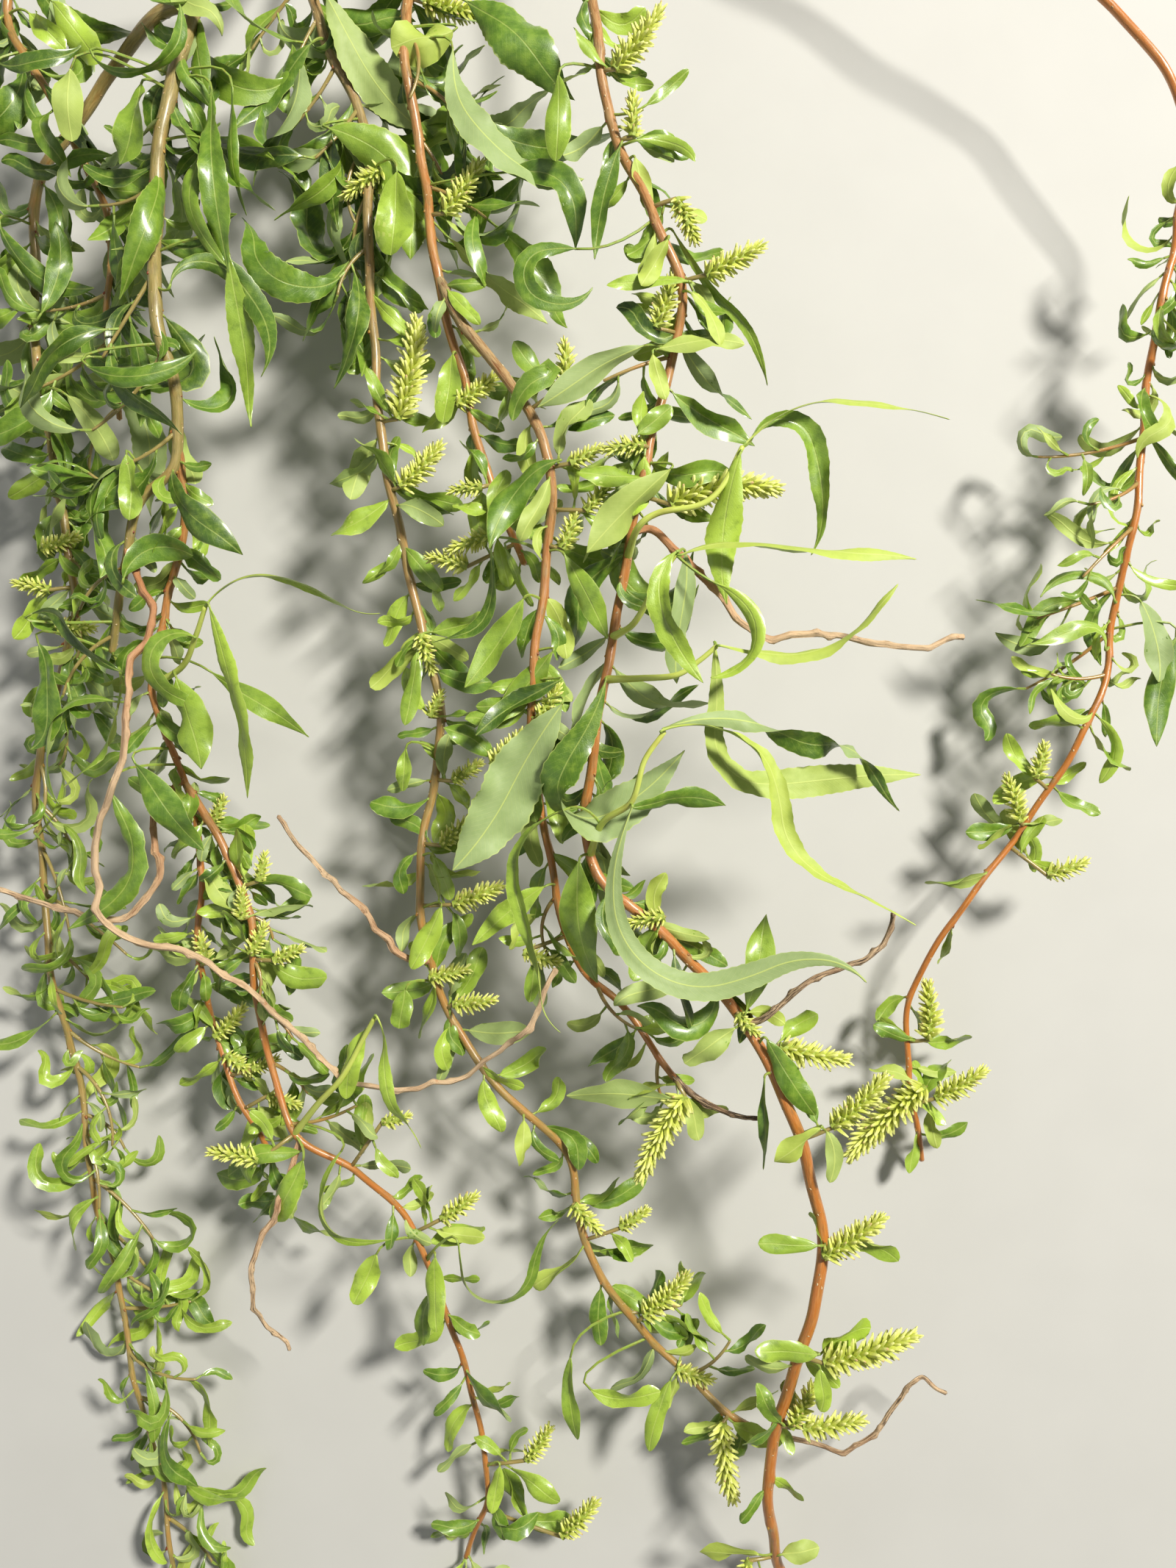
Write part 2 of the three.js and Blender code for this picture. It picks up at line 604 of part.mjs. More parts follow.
// A round bar of changing radius along points.
function bar(points, radii, sides, ways = directions(points)) {
  const rings = points.map((point, i) => {
    const forward = ways[i];
    const across = new THREE.Vector3().crossVectors(forward, UP).normalize();
    const over = new THREE.Vector3().crossVectors(across, forward);
    return Array.from({ length: sides }, (_, k) => {
      const angle = (2 * Math.PI * (k + 0.5)) / sides;
      return point
        .clone()
        .addScaledVector(across, radii[i] * Math.cos(angle))
        .addScaledVector(over, radii[i] * Math.sin(angle));
    });
  });
  return skin(rings);
}

const headingVector = (heading, climb) =>
  new THREE.Vector3(Math.cos(heading), Math.sin(heading), Math.tan(climb)).multiplyScalar(Math.cos(climb));

// A path of the given length whose heading and climb follow their lists.
function wander(start, length, headings, rises) {
  const path = [start.clone()];
  for (let i = 0; i < LEAF_PATH_STEPS; i++) {
    const share = (i + 0.5) / LEAF_PATH_STEPS;
    const way = headingVector(radians(along(headings, share)), radians(along(rises, share)));
    path.push(path[i].clone().addScaledVector(way, length / LEAF_PATH_STEPS));
  }
  return path;
}

const leafHalfWidth = (width, share) => (width / 2) * Math.sin(Math.PI * share ** 0.8) ** 0.75;

// A curled leaf folded along its midrib. Its stalk starts at the root, on the axis of what carries it.
function leaf(root, base, [length, width], headings, rolls, rises) {
  const count = Math.min(MOST_LEAF_SECTIONS, Math.max(1, Math.round(length / LEAF_SECTION_LENGTH)));
  const path = wander(base, length, headings, rises);
  const thickness = Math.max(LEAST_LEAF_THICKNESS, LEAF_THICKNESS_SHARE * length);
  const wayAt = (share) => headingVector(radians(along(headings, share)), radians(along(rises, share)));
  const section = (share, half, depth, fold) => {
    const heading = radians(along(headings, share));
    const forward = wayAt(share);
    const flat = new THREE.Vector3(-Math.sin(heading), Math.cos(heading), 0);
    const roll = radians(along(rolls, share));
    const across = flat.clone().applyAxisAngle(forward, roll);
    const over = new THREE.Vector3().crossVectors(forward, flat).applyAxisAngle(forward, roll);
    const middle = path[Math.round(share * LEAF_PATH_STEPS)];
    const edge = (side) =>
      middle
        .clone()
        .addScaledVector(across, side * half * Math.cos(fold))
        .addScaledVector(over, half * Math.sin(fold));
    const rib = (side) => middle.clone().addScaledVector(over, (side * depth) / 2);
    return [edge(1), rib(-1), edge(-1), rib(1)];
  };
  const foot = section(0, PETIOLE_RADIUS, 2 * PETIOLE_RADIUS, 0);
  const stalk = base.clone().sub(root);
  const tilt = new THREE.Quaternion().setFromUnitVectors(wayAt(0), stalk.clone().normalize());
  const rings = [foot.map((corner) => corner.clone().sub(base).applyQuaternion(tilt).add(root))];
  if (stalk.length() > PETIOLE_LEAST_LENGTH) rings.push(foot);
  for (let i = 1; i <= count; i++) {
    const share = i / (count + 1);
    rings.push(section(share, leafHalfWidth(width, share), thickness, radians(LEAF_FOLD)));
  }
  return skin(rings, path[LEAF_PATH_STEPS]);
}

// A catkin on its short stalk. The root lies on the axis of the stem, and the flowers start at the base.
function catkin(root, base, length, heading, rise) {
  const path = wander(base, length, [heading, heading + CATKIN_BEND], [rise]);
  const points = [root, base, path[Math.round(0.4 * LEAF_PATH_STEPS)], path[LEAF_PATH_STEPS]];
  const radii = [STALK_RADIUS, STALK_RADIUS, CATKIN_RADIUS, CATKIN_RADIUS * 0.3];
  return bar(points, radii, STEM_SIDES);
}

// The stems' axes, in the order in which they carry one another.
const axes = {};

// The point of a path that looks nearest to a place.
function nearest(points, u, v) {
  const offset = (p) => Math.hypot(p.x / scaleAt(p.z) - u, p.y / scaleAt(p.z) - v);
  return points.reduce((best, p) => (offset(p) < offset(best) ? p : best));
}

Object.entries(STEMS).forEach(([name, { from, route, radius }], order) => {
  const places = route.map(([u, v, height]) =>
    height === undefined ? nearest(axes[from].fine, u, v).clone() : seen(u, v, height),
  );
  const phase = order * WAVE_PHASE_STEP;
  const points = stations(places, LIMB_STEP, phase);
  const radii = points.map((_, i) => between(...radius, i / (points.length - 1)));
  axes[name] = { points, radii, ways: directions(points), fine: stations(places, 1, phase) };
});

const lengthOf = (points) => points.slice(1).reduce((sum, p, i) => sum + p.distanceTo(points[i]), 0);

// Points a millimetre apart along straight stretches.
function walk(points) {
  const path = new THREE.CurvePath();
  points.slice(1).forEach((point, i) => path.add(new THREE.LineCurve3(points[i], point)));
  return path.getSpacedPoints(Math.round(lengthOf(points)));
}

// The part of an axis between two distances along it, as points, radii and directions.
function slice({ points, radii, ways }, start, end) {
  const cut = { points: [], radii: [], ways: [] };
  const add = (i, share) => {
    cut.points.push(points[i].clone().lerp(points[i + 1], share));
    cut.radii.push(between(radii[i], radii[i + 1], share));
    cut.ways.push(ways[i].clone().lerp(ways[i + 1], share).normalize());
  };
  let walked = 0;
  for (let i = 0; i + 1 < points.length; i++) {
    const stretch = points[i].distanceTo(points[i + 1]);
    const leave = walked + stretch;
    if (start >= walked && start < leave) add(i, (start - walked) / stretch);
    else if (walked > start && walked < end) add(i, 0);
    if (end > walked && end <= leave) add(i, (end - walked) / stretch);
    walked = leave;
  }
  return cut;
}

// How far along an axis it first passes a place along the branch.
function distanceTo({ points }, passed) {
  const v = (p) => p.y / scaleAt(p.z);
  let walked = 0;
  for (let i = 0; i + 1 < points.length; i++) {
    const stretch = points[i].distanceTo(points[i + 1]);
    const share = (v(points[i]) - passed) / (v(points[i]) - v(points[i + 1]));
    if (share >= 0 && share < 1) return walked + share * stretch;
    walked += stretch;
  }
  throw new Error("no stem passes " + passed);
}

// The bar round a carrier that whatever forks from it keeps out of.
function clearance(axis, place) {
  const near = axis.points.map((_, i) => i).filter((i) => axis.points[i].distanceTo(place) < FORK_REACH);
  const radii = near.map((i) => axis.radii[i] / Math.cos(Math.PI / FORK_SIDES) + GAP);
  return bar(near.map((i) => axis.points[i]), radii, FORK_SIDES);
}

// What a solid that forks from an axis keeps outside the clearance round it.
function forked(solid, axis, place) {
  const cut = largest(solid.subtract(clearance(axis, place)));
  return onGrid(cut) || cut;
}

const largest = (solid) => solid.decompose().sort((a, b) => b.volume() - a.volume())[0];

const boxOf = (solid) => {
  const { min, max } = solid.boundingBox();
  return new THREE.Box3(new THREE.Vector3(...min), new THREE.Vector3(...max));
};

// The pieces under construction by name, each with the solids that are fused at the end.
const pieces = {};

function fuse(piece, solid) {
  piece.solids.push(solid);
  piece.boxes.push(boxOf(solid));
}

function addPiece(name, look, dress, stem, solid) {
  pieces[name] = { look, dress, stem, solids: [], boxes: [] };
  fuse(pieces[name], solid);
}

// The bare stems, cut into their nodes. A leafy node's stem carries on from the one before it.
for (const [stemName, { from, nodes, look = "bark" }] of Object.entries(STEMS)) {
  const axis = axes[stemName];
  const length = lengthOf(axis.points);
  let start = 0;
  for (const { name, until, dress } of nodes) {
    const end = until === undefined ? length : distanceTo(axis, until);
    const last = end === length ? length - GAP : end - GAP / 2;
    const cut = slice(axis, start && start + GAP / 2, last);
    const isLimb = look === "bark" && !dress && !LEAVES[name];
    let solid = bar(cut.points, cut.radii, isLimb ? LIMB_SIDES : STEM_SIDES, cut.ways);
    let hidden = 1;
    if (from && !start) {
      solid = forked(solid, axes[from], axis.points[0]);
      hidden = Math.ceil(axes[from].radii[0] + FORK_MARGIN);
    }
    const stem = walk(cut.points).slice(hidden, -1);
    addPiece(name, isLimb || look !== "bark" ? look : "leaf", dress, stem, solid);
    start = end;
  }
}

// Whether a solid stays off the floor and clear of every piece but its own.
function isClear(solid, owner) {
  const box = boxOf(solid);
  if (box.min.z < FLOOR) return false;
  box.expandByScalar(GAP);
  const touches = (piece) =>
    piece.solids.some((other, i) => box.intersectsBox(piece.boxes[i]) && other.minGap(solid, 2 * GAP) < GAP);
  return Object.values(pieces).every((piece) => piece === owner || !touches(piece));
}

// Fuses the first of several tries that is clear, and leaves the item out where none is.
function grow(piece, tries, make) {
  for (const attempt of tries) {
    const solid = make(attempt);
    if (isClear(solid, piece)) {
      fuse(piece, solid);
      return true;
    }
  }
  return false;
}

// A catkin that is a piece of its own has a square foot, as near its stem as the gap between them lets it be.
for (const [name, [from, u, v, heading, length]] of Object.entries(SEPARATE_CATKINS)) {
  const root = nearest(axes[from].fine, u, v);
  const base = seen(u, v, root.z + CATKIN_LIFT);
  const outward = base.clone().sub(root).normalize();
  const tries = Array.from({ length: MOST_FOOT_STEPS }, (_, step) => {
    const foot = root.clone().addScaledVector(outward, step * FOOT_STEP);
    return catkin(foot, base, length, heading - CATKIN_BEND / 2, 0);
  });
  addPiece(name, "catkin", undefined, [], tries.find((solid) => isClear(solid)));
}

for (const [name, rows] of Object.entries(LEAVES)) {
  for (const [[u, v, lift], size, headings, rolls, rises] of rows) {
    const root = nearest(pieces[name].stem, u, v);
    grow(pieces[name], LIFTS, (more) =>
      leaf(root, seen(u, v, root.z + lift + more), size, headings, rolls, rises),
    );
  }
}

for (const [name, rows] of Object.entries(CATKINS)) {
  for (const [u, v, heading, length] of rows) {
    const root = nearest(pieces[name].stem, u, v);
    grow(pieces[name], LIFTS, (more) =>
      catkin(root, seen(u, v, root.z + CATKIN_LIFT + more), length, heading - CATKIN_BEND / 2, 0),
    );
  }
}

// One bud's leaf by the seeded rule, leaving its carrier at the foot on one side of the carrier's heading.
function budLeaf(piece, dress, roll, foot, heading, side) {
  grow(piece, TRIES, () => {
    const out = heading + side * between(...LEAF_TURN, roll());
    const rise = dress.tilt * between(-1, 1, roll());
    const turn = dress.curl * between(-1, 1, roll());
    const length = between(...dress.length, roll());
    const width = Math.max(LEAST_LEAF_WIDTH, length * dress.slim * between(...WIDTH_SPREAD, roll()));
    const lean = between(...LEAF_ROLL, roll());
    const base = foot.clone().addScaledVector(headingVector(radians(out), radians(rise)), LEAF_FOOT);
    const headings = [out, out + EARLY_CURL_SHARE * turn, out + turn];
    const rolls = [lean, lean + between(...LEAF_TWIST, roll())];
    return leaf(foot, base, [length, width], headings, rolls, [rise, 0, -rise / 2]);
  });
}

// One bud: a catkin or none, then leaves on the stem itself or on a side twig.
function growBud(piece, dress, roll, place, side) {
  const { stem } = piece;
  const root = stem[place];
  const forward = stem[Math.min(stem.length - 1, place + 2)].clone().sub(stem[place - 2]);
  const heading = THREE.MathUtils.radToDeg(Math.atan2(forward.y, forward.x));
  if (roll() < dress.catkins) {
    grow(piece, TRIES, () => {
      const out = heading + side * between(...CATKIN_TURN, roll());
      const rise = between(...CATKIN_RISE, roll());
      const base = root.clone().addScaledVector(headingVector(radians(out), radians(rise)), STALK_LENGTH);
      return catkin(root, base, between(...CATKIN_LENGTH, roll()), out, rise);
    });
  }
  const count = Math.round(between(...BUD_LEAVES, roll()));
  let twig = [];
  const hasTwig =
    roll() < dress.twigs &&
    grow(piece, TRIES, () => {
      const out = heading + side * between(...TWIG_TURN, roll());
      const length = between(...TWIG_LENGTH, roll());
      const rise = between(...TWIG_RISE, roll());
      const path = wander(root, length, [out, out + side * between(...TWIG_CURL, roll())], [rise, 0]);
      const points = path.filter((_, i) => i % (LEAF_PATH_STEPS / TWIG_STEPS) === 0);
      twig = walk(points).reverse();
      return bar(points, points.map((_, i) => between(...TWIG_RADIUS, i / TWIG_STEPS)), TWIG_SIDES);
    });
  for (let i = 0; i < count + (hasTwig ? 1 : 0); i++) {
    const onStem = stem[Math.min(stem.length - 1, place + LEAF_SPACING * (i + 1))];
    const foot = hasTwig ? twig[1 + i * TWIG_LEAF_SPACING] : onStem;
    budLeaf(piece, dress, roll, foot, heading, i % 2 ? -side : side);
  }
}

Object.values(pieces).forEach((piece, order) => {
  if (!piece.dress) return;
  const dress = DRESS[piece.dress];
  let place = FIRST_BUD;
  for (let bud = 0; place < piece.stem.length - 2; bud++) {
    const roll = dice(order * 131 + bud * 17 + 5);
    growBud(piece, dress, roll, Math.round(place), bud % 2 ? -1 : 1);
    place += dress.pitch * between(...PITCH_SPREAD, roll());
  }
});

// A solid's corners on a fine grid and its triangles there, and whether each edge joins just two of them.
function snap(solid) {
  const { vertProperties, triVerts } = solid.getMesh();
  const found = new Map();
  const position = [];
  const merged = Array.from({ length: vertProperties.length / 3 }, (_, i) => {
    const corner = Array.from(vertProperties.subarray(3 * i, 3 * i + 3), (value) => Math.round(value / GRID));
    const key = corner.join();
    if (!found.has(key)) {
      found.set(key, found.size);
      position.push(...corner.map((value) => value * GRID));
    }
    return found.get(key);
  });
  const triangles = [];
  const edges = new Set();
  for (let i = 0; i < triVerts.length; i += 3) {
    const [a, b, c] = Array.from(triVerts.subarray(i, i + 3), (vertex) => merged[vertex]);
    if (a === b || b === c || c === a) continue;
    triangles.push(a, b, c);
    for (const edge of [[a, b], [b, c], [c, a]]) edges.add(edge.join());
  }
  return { position, triangles, isClosed: edges.size === triangles.length };
}

// The solid with its corners on the grid, or nothing where a cut is too thin to stay closed there.
function onGrid(solid) {
  const { position, triangles } = snap(solid);
  try {
    const snapped = body(position, triangles);
    return snapped.decompose().length === 1 && snap(snapped).isClosed ? snapped : undefined;
  } catch {
    return undefined;
  }
}

// Fuses solids one after another, fills what they seal in, and leaves out one that can't be fused cleanly.
function fused([first, ...rest]) {
  return rest.reduce((whole, solid) => {
    const joined = whole.add(solid).decompose().filter((shell) => shell.volume() > 0);
    return (joined.length === 1 && onGrid(joined[0])) || whole;
  }, first);
}

// Each piece is one closed body, and the branch lies on the floor with the origin under its middle.
const root = new THREE.Group();
const branch = new THREE.Group();
root.add(branch);
const bounds = new THREE.Box3();
for (const [name, { look, solids }] of Object.entries(pieces)) {
  const whole = fused(solids);
  const { vertProperties, triVerts } = whole.getMesh();
  const geometry = new THREE.BufferGeometry()
    .setAttribute("position", new THREE.BufferAttribute(vertProperties.slice(), 3))
    .setIndex(new THREE.BufferAttribute(triVerts.slice(), 1));
  const mesh = new THREE.Mesh(geometry, new THREE.MeshStandardMaterial(LOOKS[look]));
  mesh.name = name;
  branch.add(mesh);
  bounds.union(boxOf(whole));
}
const middle = bounds.getCenter(new THREE.Vector3());
const toGrid = (value) => Math.round(value / GRID) * GRID;
branch.position.set(toGrid(-middle.x), toGrid(-middle.y), toGrid(-bounds.min.z));

export default root;
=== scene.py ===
# A cut branch of corkscrew willow in flower, lying on a pale floor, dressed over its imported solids.
# Places are in millimetres as they look from straight above, and are carried into the frame in metres.
import functools
import json
import math
from collections import namedtuple

import bmesh
import bpy
import numpy as np
from bpy.props import FloatProperty, FloatVectorProperty, PointerProperty
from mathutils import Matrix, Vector
from mathutils.kdtree import KDTree


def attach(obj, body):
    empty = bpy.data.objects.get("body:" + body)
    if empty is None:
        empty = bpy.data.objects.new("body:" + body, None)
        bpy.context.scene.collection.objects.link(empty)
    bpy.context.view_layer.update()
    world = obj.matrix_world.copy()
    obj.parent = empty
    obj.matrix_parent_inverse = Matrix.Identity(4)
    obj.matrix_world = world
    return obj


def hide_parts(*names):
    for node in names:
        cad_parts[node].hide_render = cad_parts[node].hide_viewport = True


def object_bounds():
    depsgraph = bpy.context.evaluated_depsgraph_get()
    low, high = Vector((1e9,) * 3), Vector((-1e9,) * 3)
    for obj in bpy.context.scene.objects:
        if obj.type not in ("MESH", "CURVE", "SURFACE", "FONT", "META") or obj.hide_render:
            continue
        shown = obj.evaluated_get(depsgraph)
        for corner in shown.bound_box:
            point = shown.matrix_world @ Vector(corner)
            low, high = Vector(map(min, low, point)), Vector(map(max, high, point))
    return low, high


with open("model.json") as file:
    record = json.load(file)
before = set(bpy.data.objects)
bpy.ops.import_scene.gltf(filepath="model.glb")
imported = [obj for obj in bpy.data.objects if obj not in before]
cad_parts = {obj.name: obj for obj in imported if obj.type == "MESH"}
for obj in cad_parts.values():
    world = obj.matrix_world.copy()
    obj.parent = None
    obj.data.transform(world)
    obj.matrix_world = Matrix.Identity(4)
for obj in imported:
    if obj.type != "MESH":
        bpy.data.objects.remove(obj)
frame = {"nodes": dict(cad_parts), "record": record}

bl_info = {
    "name": "Corkscrew Willow Branch",
    "version": (1, 0, 0),
    "blender": (4, 5, 0),
    "location": "View3D > Sidebar > Willow",
    "description": "Builds a cut willow branch with twisted shoots, curled leaves and catkins",
    "category": "Add Mesh",
}

CAD_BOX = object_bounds()
MM = 0.001

# The view that the places are written in, and the half sides of the picture
VIEW_HEIGHT = 415
MIDDLE_HEIGHT = 60
VIEW_TALL = 533.25
SENSOR = 36
PICTURE_HALF_WIDTH = 198
PICTURE_HALF_HEIGHT = 262

# Stems: the wave and wriggle of their curve, the kinks of the dead ones, and their foot on a carrier
ARC_DIVISIONS = 200
WAVE_HEIGHT = 2.5
WAVE_LENGTH = 78
WAVE_PHASE_STEP = 1.7
WRIGGLE = 0.3
WRIGGLE_LENGTHS = (31, 43)
KINK = 1.1
KINK_SPACING = (3.5, 9)
COLLAR_ROOM = 0.9
COLLAR_SPREAD = 0.06
COLLAR_LENGTH = 4
COLLAR_SWELL = 0.3
FLOOR_GAP = 0.6

# Bark: the sides of its rings, its relief beside that of the boughs, and the swellings and scars of buds.
# The pattern step keeps each stem's pattern its own.
PATTERN_STEP = 1000
LIMB_SIDES = 20
STEM_SIDES = 12
DRY_SIDES = 14
TWIG_SIDES = 7
SHOOT_RELIEF = 0.4
DRY_RELIEF = 7
YOUNG_RELIEF = 0.03
BUD_SWELL_LENGTH = 2.2
DRY_KNOT_LENGTH = 1.4
DRY_KNOTS = (0.8, 1.9)
KNOT_CLIMBS = (-60, 60)
SCAR_OFFSET = 1.5
SCAR_LENGTH = 1.3
SCAR_ROUND = 0.2
SCAR_FACING = 0.6
TIP_REACH = 0.8
BROWN_LENGTH = 130
CUT_SHARES = (1, 0.88, 0.7, 0.5, 0.3, 0.12)
SHARP_ANGLE = 70
SMALL_SHARP_ANGLE = 85
WELD = 0.01

# Leaves: their rows and columns of faces, and where their form changes with their length
LONG_ROW = 1.4
SHORT_ROW = 2
ROWS = (11, 96)
LONG_EASE = 0.45
SHORT_EASE = 0.8
COLUMNS_ABOVE = ((9, 9), (5, 7), (0, 5))
COLUMN_EASE = 0.92
TOOTH_LEAST_LENGTH = 45
TOOTH = 0.03
BLUNT_MOST_LENGTH = 30
SHORT_TIPS = (0.65, 1.0)
LONG_TIPS = (0.0, 0.35)
WIDEST = (0.42, 0.6)
SWAY = 22
EXTRA_ROLL = 20
TWIST_WAVES = 1.3
FOLDS = (0.2, 1.9)
RECURVES = (-0.25, 0.75)
RIPPLE_LENGTHS = (9, 16)
RIPPLE_HEIGHTS = (0.04, 0.16)
RIPPLE_LAG = 1.9
RIB_HEIGHT = 0.22
FULL_RIB_WIDTH = 8
GROOVE_DEPTH = 0.1
PETIOLE_RADIUS = 0.42
PETIOLE_SIDES = 5
PETIOLE_STEPS = 5

# Growth: spacing of buds and leaves, the angles at which they leave their carrier, and the room they need
FIRST_BUD = 4
PITCH_SPREAD = (0.75, 1.25)
BUD_ANGLE = 65
BUD_CLIMBS = (-20, 50)
BUD_SIZES = (0.2, 0.4)
LEAF_FOOT = 2
LEAF_FEET = (0.8, 2.2)
LEAF_SPACING = 3
LEAF_ANGLES = (20, 85)
LEAF_WIDTHS = (0.85, 1.2)
LEAST_WIDTH = 3.2
SHORTER = 1.4
LEANS = (-60, 60)
TURNED_SHARE = 0.25
LONG_LEAF = 32
SHORT_TWIST = 80
LONG_TWIST = 150
EARLY_TURNS = (0.1, 0.7)
LATE_TURNS = (0.2, 1.3)
TRIES = 7
TRIAL = np.linspace(0, 1, 13)
HANG = -90
TWIG_ANGLES = (30, 70)
TWIG_BENDS = (-80, 40)
TWIG_CLIMBS = (-30, 30)
TWIG_RADIUS = (0.8, 0.5)
TWIG_STEPS = 24
TWIG_SHARES = np.linspace(0, 1, TWIG_STEPS + 1)
ROOT_REACH = 9
BLADE_CLEARANCE = 2.6
FLOOR_CLEARANCE = 3
BOX_CLEARANCE = 1
COVER_DEPTH = 2
LISTED_BELOW = -60
# Tones for listed leaves whose tone isn't given: fresh ones, and others that may lean toward the painted
# shade green.
LISTED_FRESH = (0.65, 1.0)
LISTED_DEEP = (0.15, 0.75)
SPUR_FEET = (0.3, 0.8)
SPUR_TURN = 15

# Catkins: their stalks, their reach over what grows behind them, and those that the rule adds
STALK_LENGTH = 6
STALK_RADIUS = 0.75
CATKIN_SHARES = np.linspace(0, 1, 15)
CATKIN_LIFT = 3
CATKIN_REACH = 5
CATKIN_ANGLES = (70, 120)
CATKIN_CLIMBS = (0, 35)
CATKIN_BEND = 16
CATKIN_LENGTHS = (13, 24)
VIGOROUS_LENGTH = 19
GOLDEN_ANGLE = math.radians(137.508)

# A little over a full turn, for the start of a wave
ANY_PHASE = 6.3

# How the stems of each kind are dressed: the distance between buds, the shares of buds with a catkin and
# with a side twig, the number of leaves, and the leaves' length, slimness, curl, tilt and tone, which runs
# from the painted shade green of the upper side to the fresh yellow-green of the youngest leaves. The
# droop is how far a leaf turns toward the way in which the branch hung.
DRESS = {
    "spurs": dict(
        pitch=19, catkins=0.5, twigs=0.08, leaves=(2, 4), length=(13, 25), slim=0.33, curl=80, tilt=45,
        fresh=(0.35, 0.95), twig_length=(14, 26), droop=0.1,
    ),
    "leafy": dict(
        pitch=12, catkins=0.1, twigs=0.3, leaves=(2, 3), length=(15, 46), slim=0.24, curl=170, tilt=45,
        fresh=(0.1, 0.7), twig_length=(20, 38), droop=0.3,
    ),
    "lush": dict(
        pitch=9, catkins=0.1, twigs=0.25, leaves=(2, 3), length=(18, 58), slim=0.22, curl=190, tilt=50,
        fresh=(0.1, 0.7), twig_length=(20, 34), droop=0.35,
    ),
    "young": dict(
        pitch=9, catkins=0.0, twigs=0.4, leaves=(2, 4), length=(13, 32), slim=0.2, curl=200, tilt=50,
        fresh=(0.4, 0.95), twig_length=(20, 38), droop=0.2,
    ),
    "clusters": dict(
        pitch=9, catkins=0.0, twigs=0.15, leaves=(2, 4), length=(10, 21), slim=0.37, curl=80, tilt=45,
        fresh=(0.25, 0.85), twig_length=(10, 20), droop=0.15,
    ),
    "sparse": dict(
        pitch=26, catkins=0.3, twigs=0.0, leaves=(1, 2), length=(14, 24), slim=0.34, curl=60, tilt=35,
        fresh=(0.4, 0.9), twig_length=(10, 16), droop=0.0,
    ),
}

# The leaves at the foot of a catkin that shows
SPUR_LEAF = dict(length=(12, 22), slim=0.36, curl=50, tilt=30, fresh=(0.5, 1.0), droop=0.0)

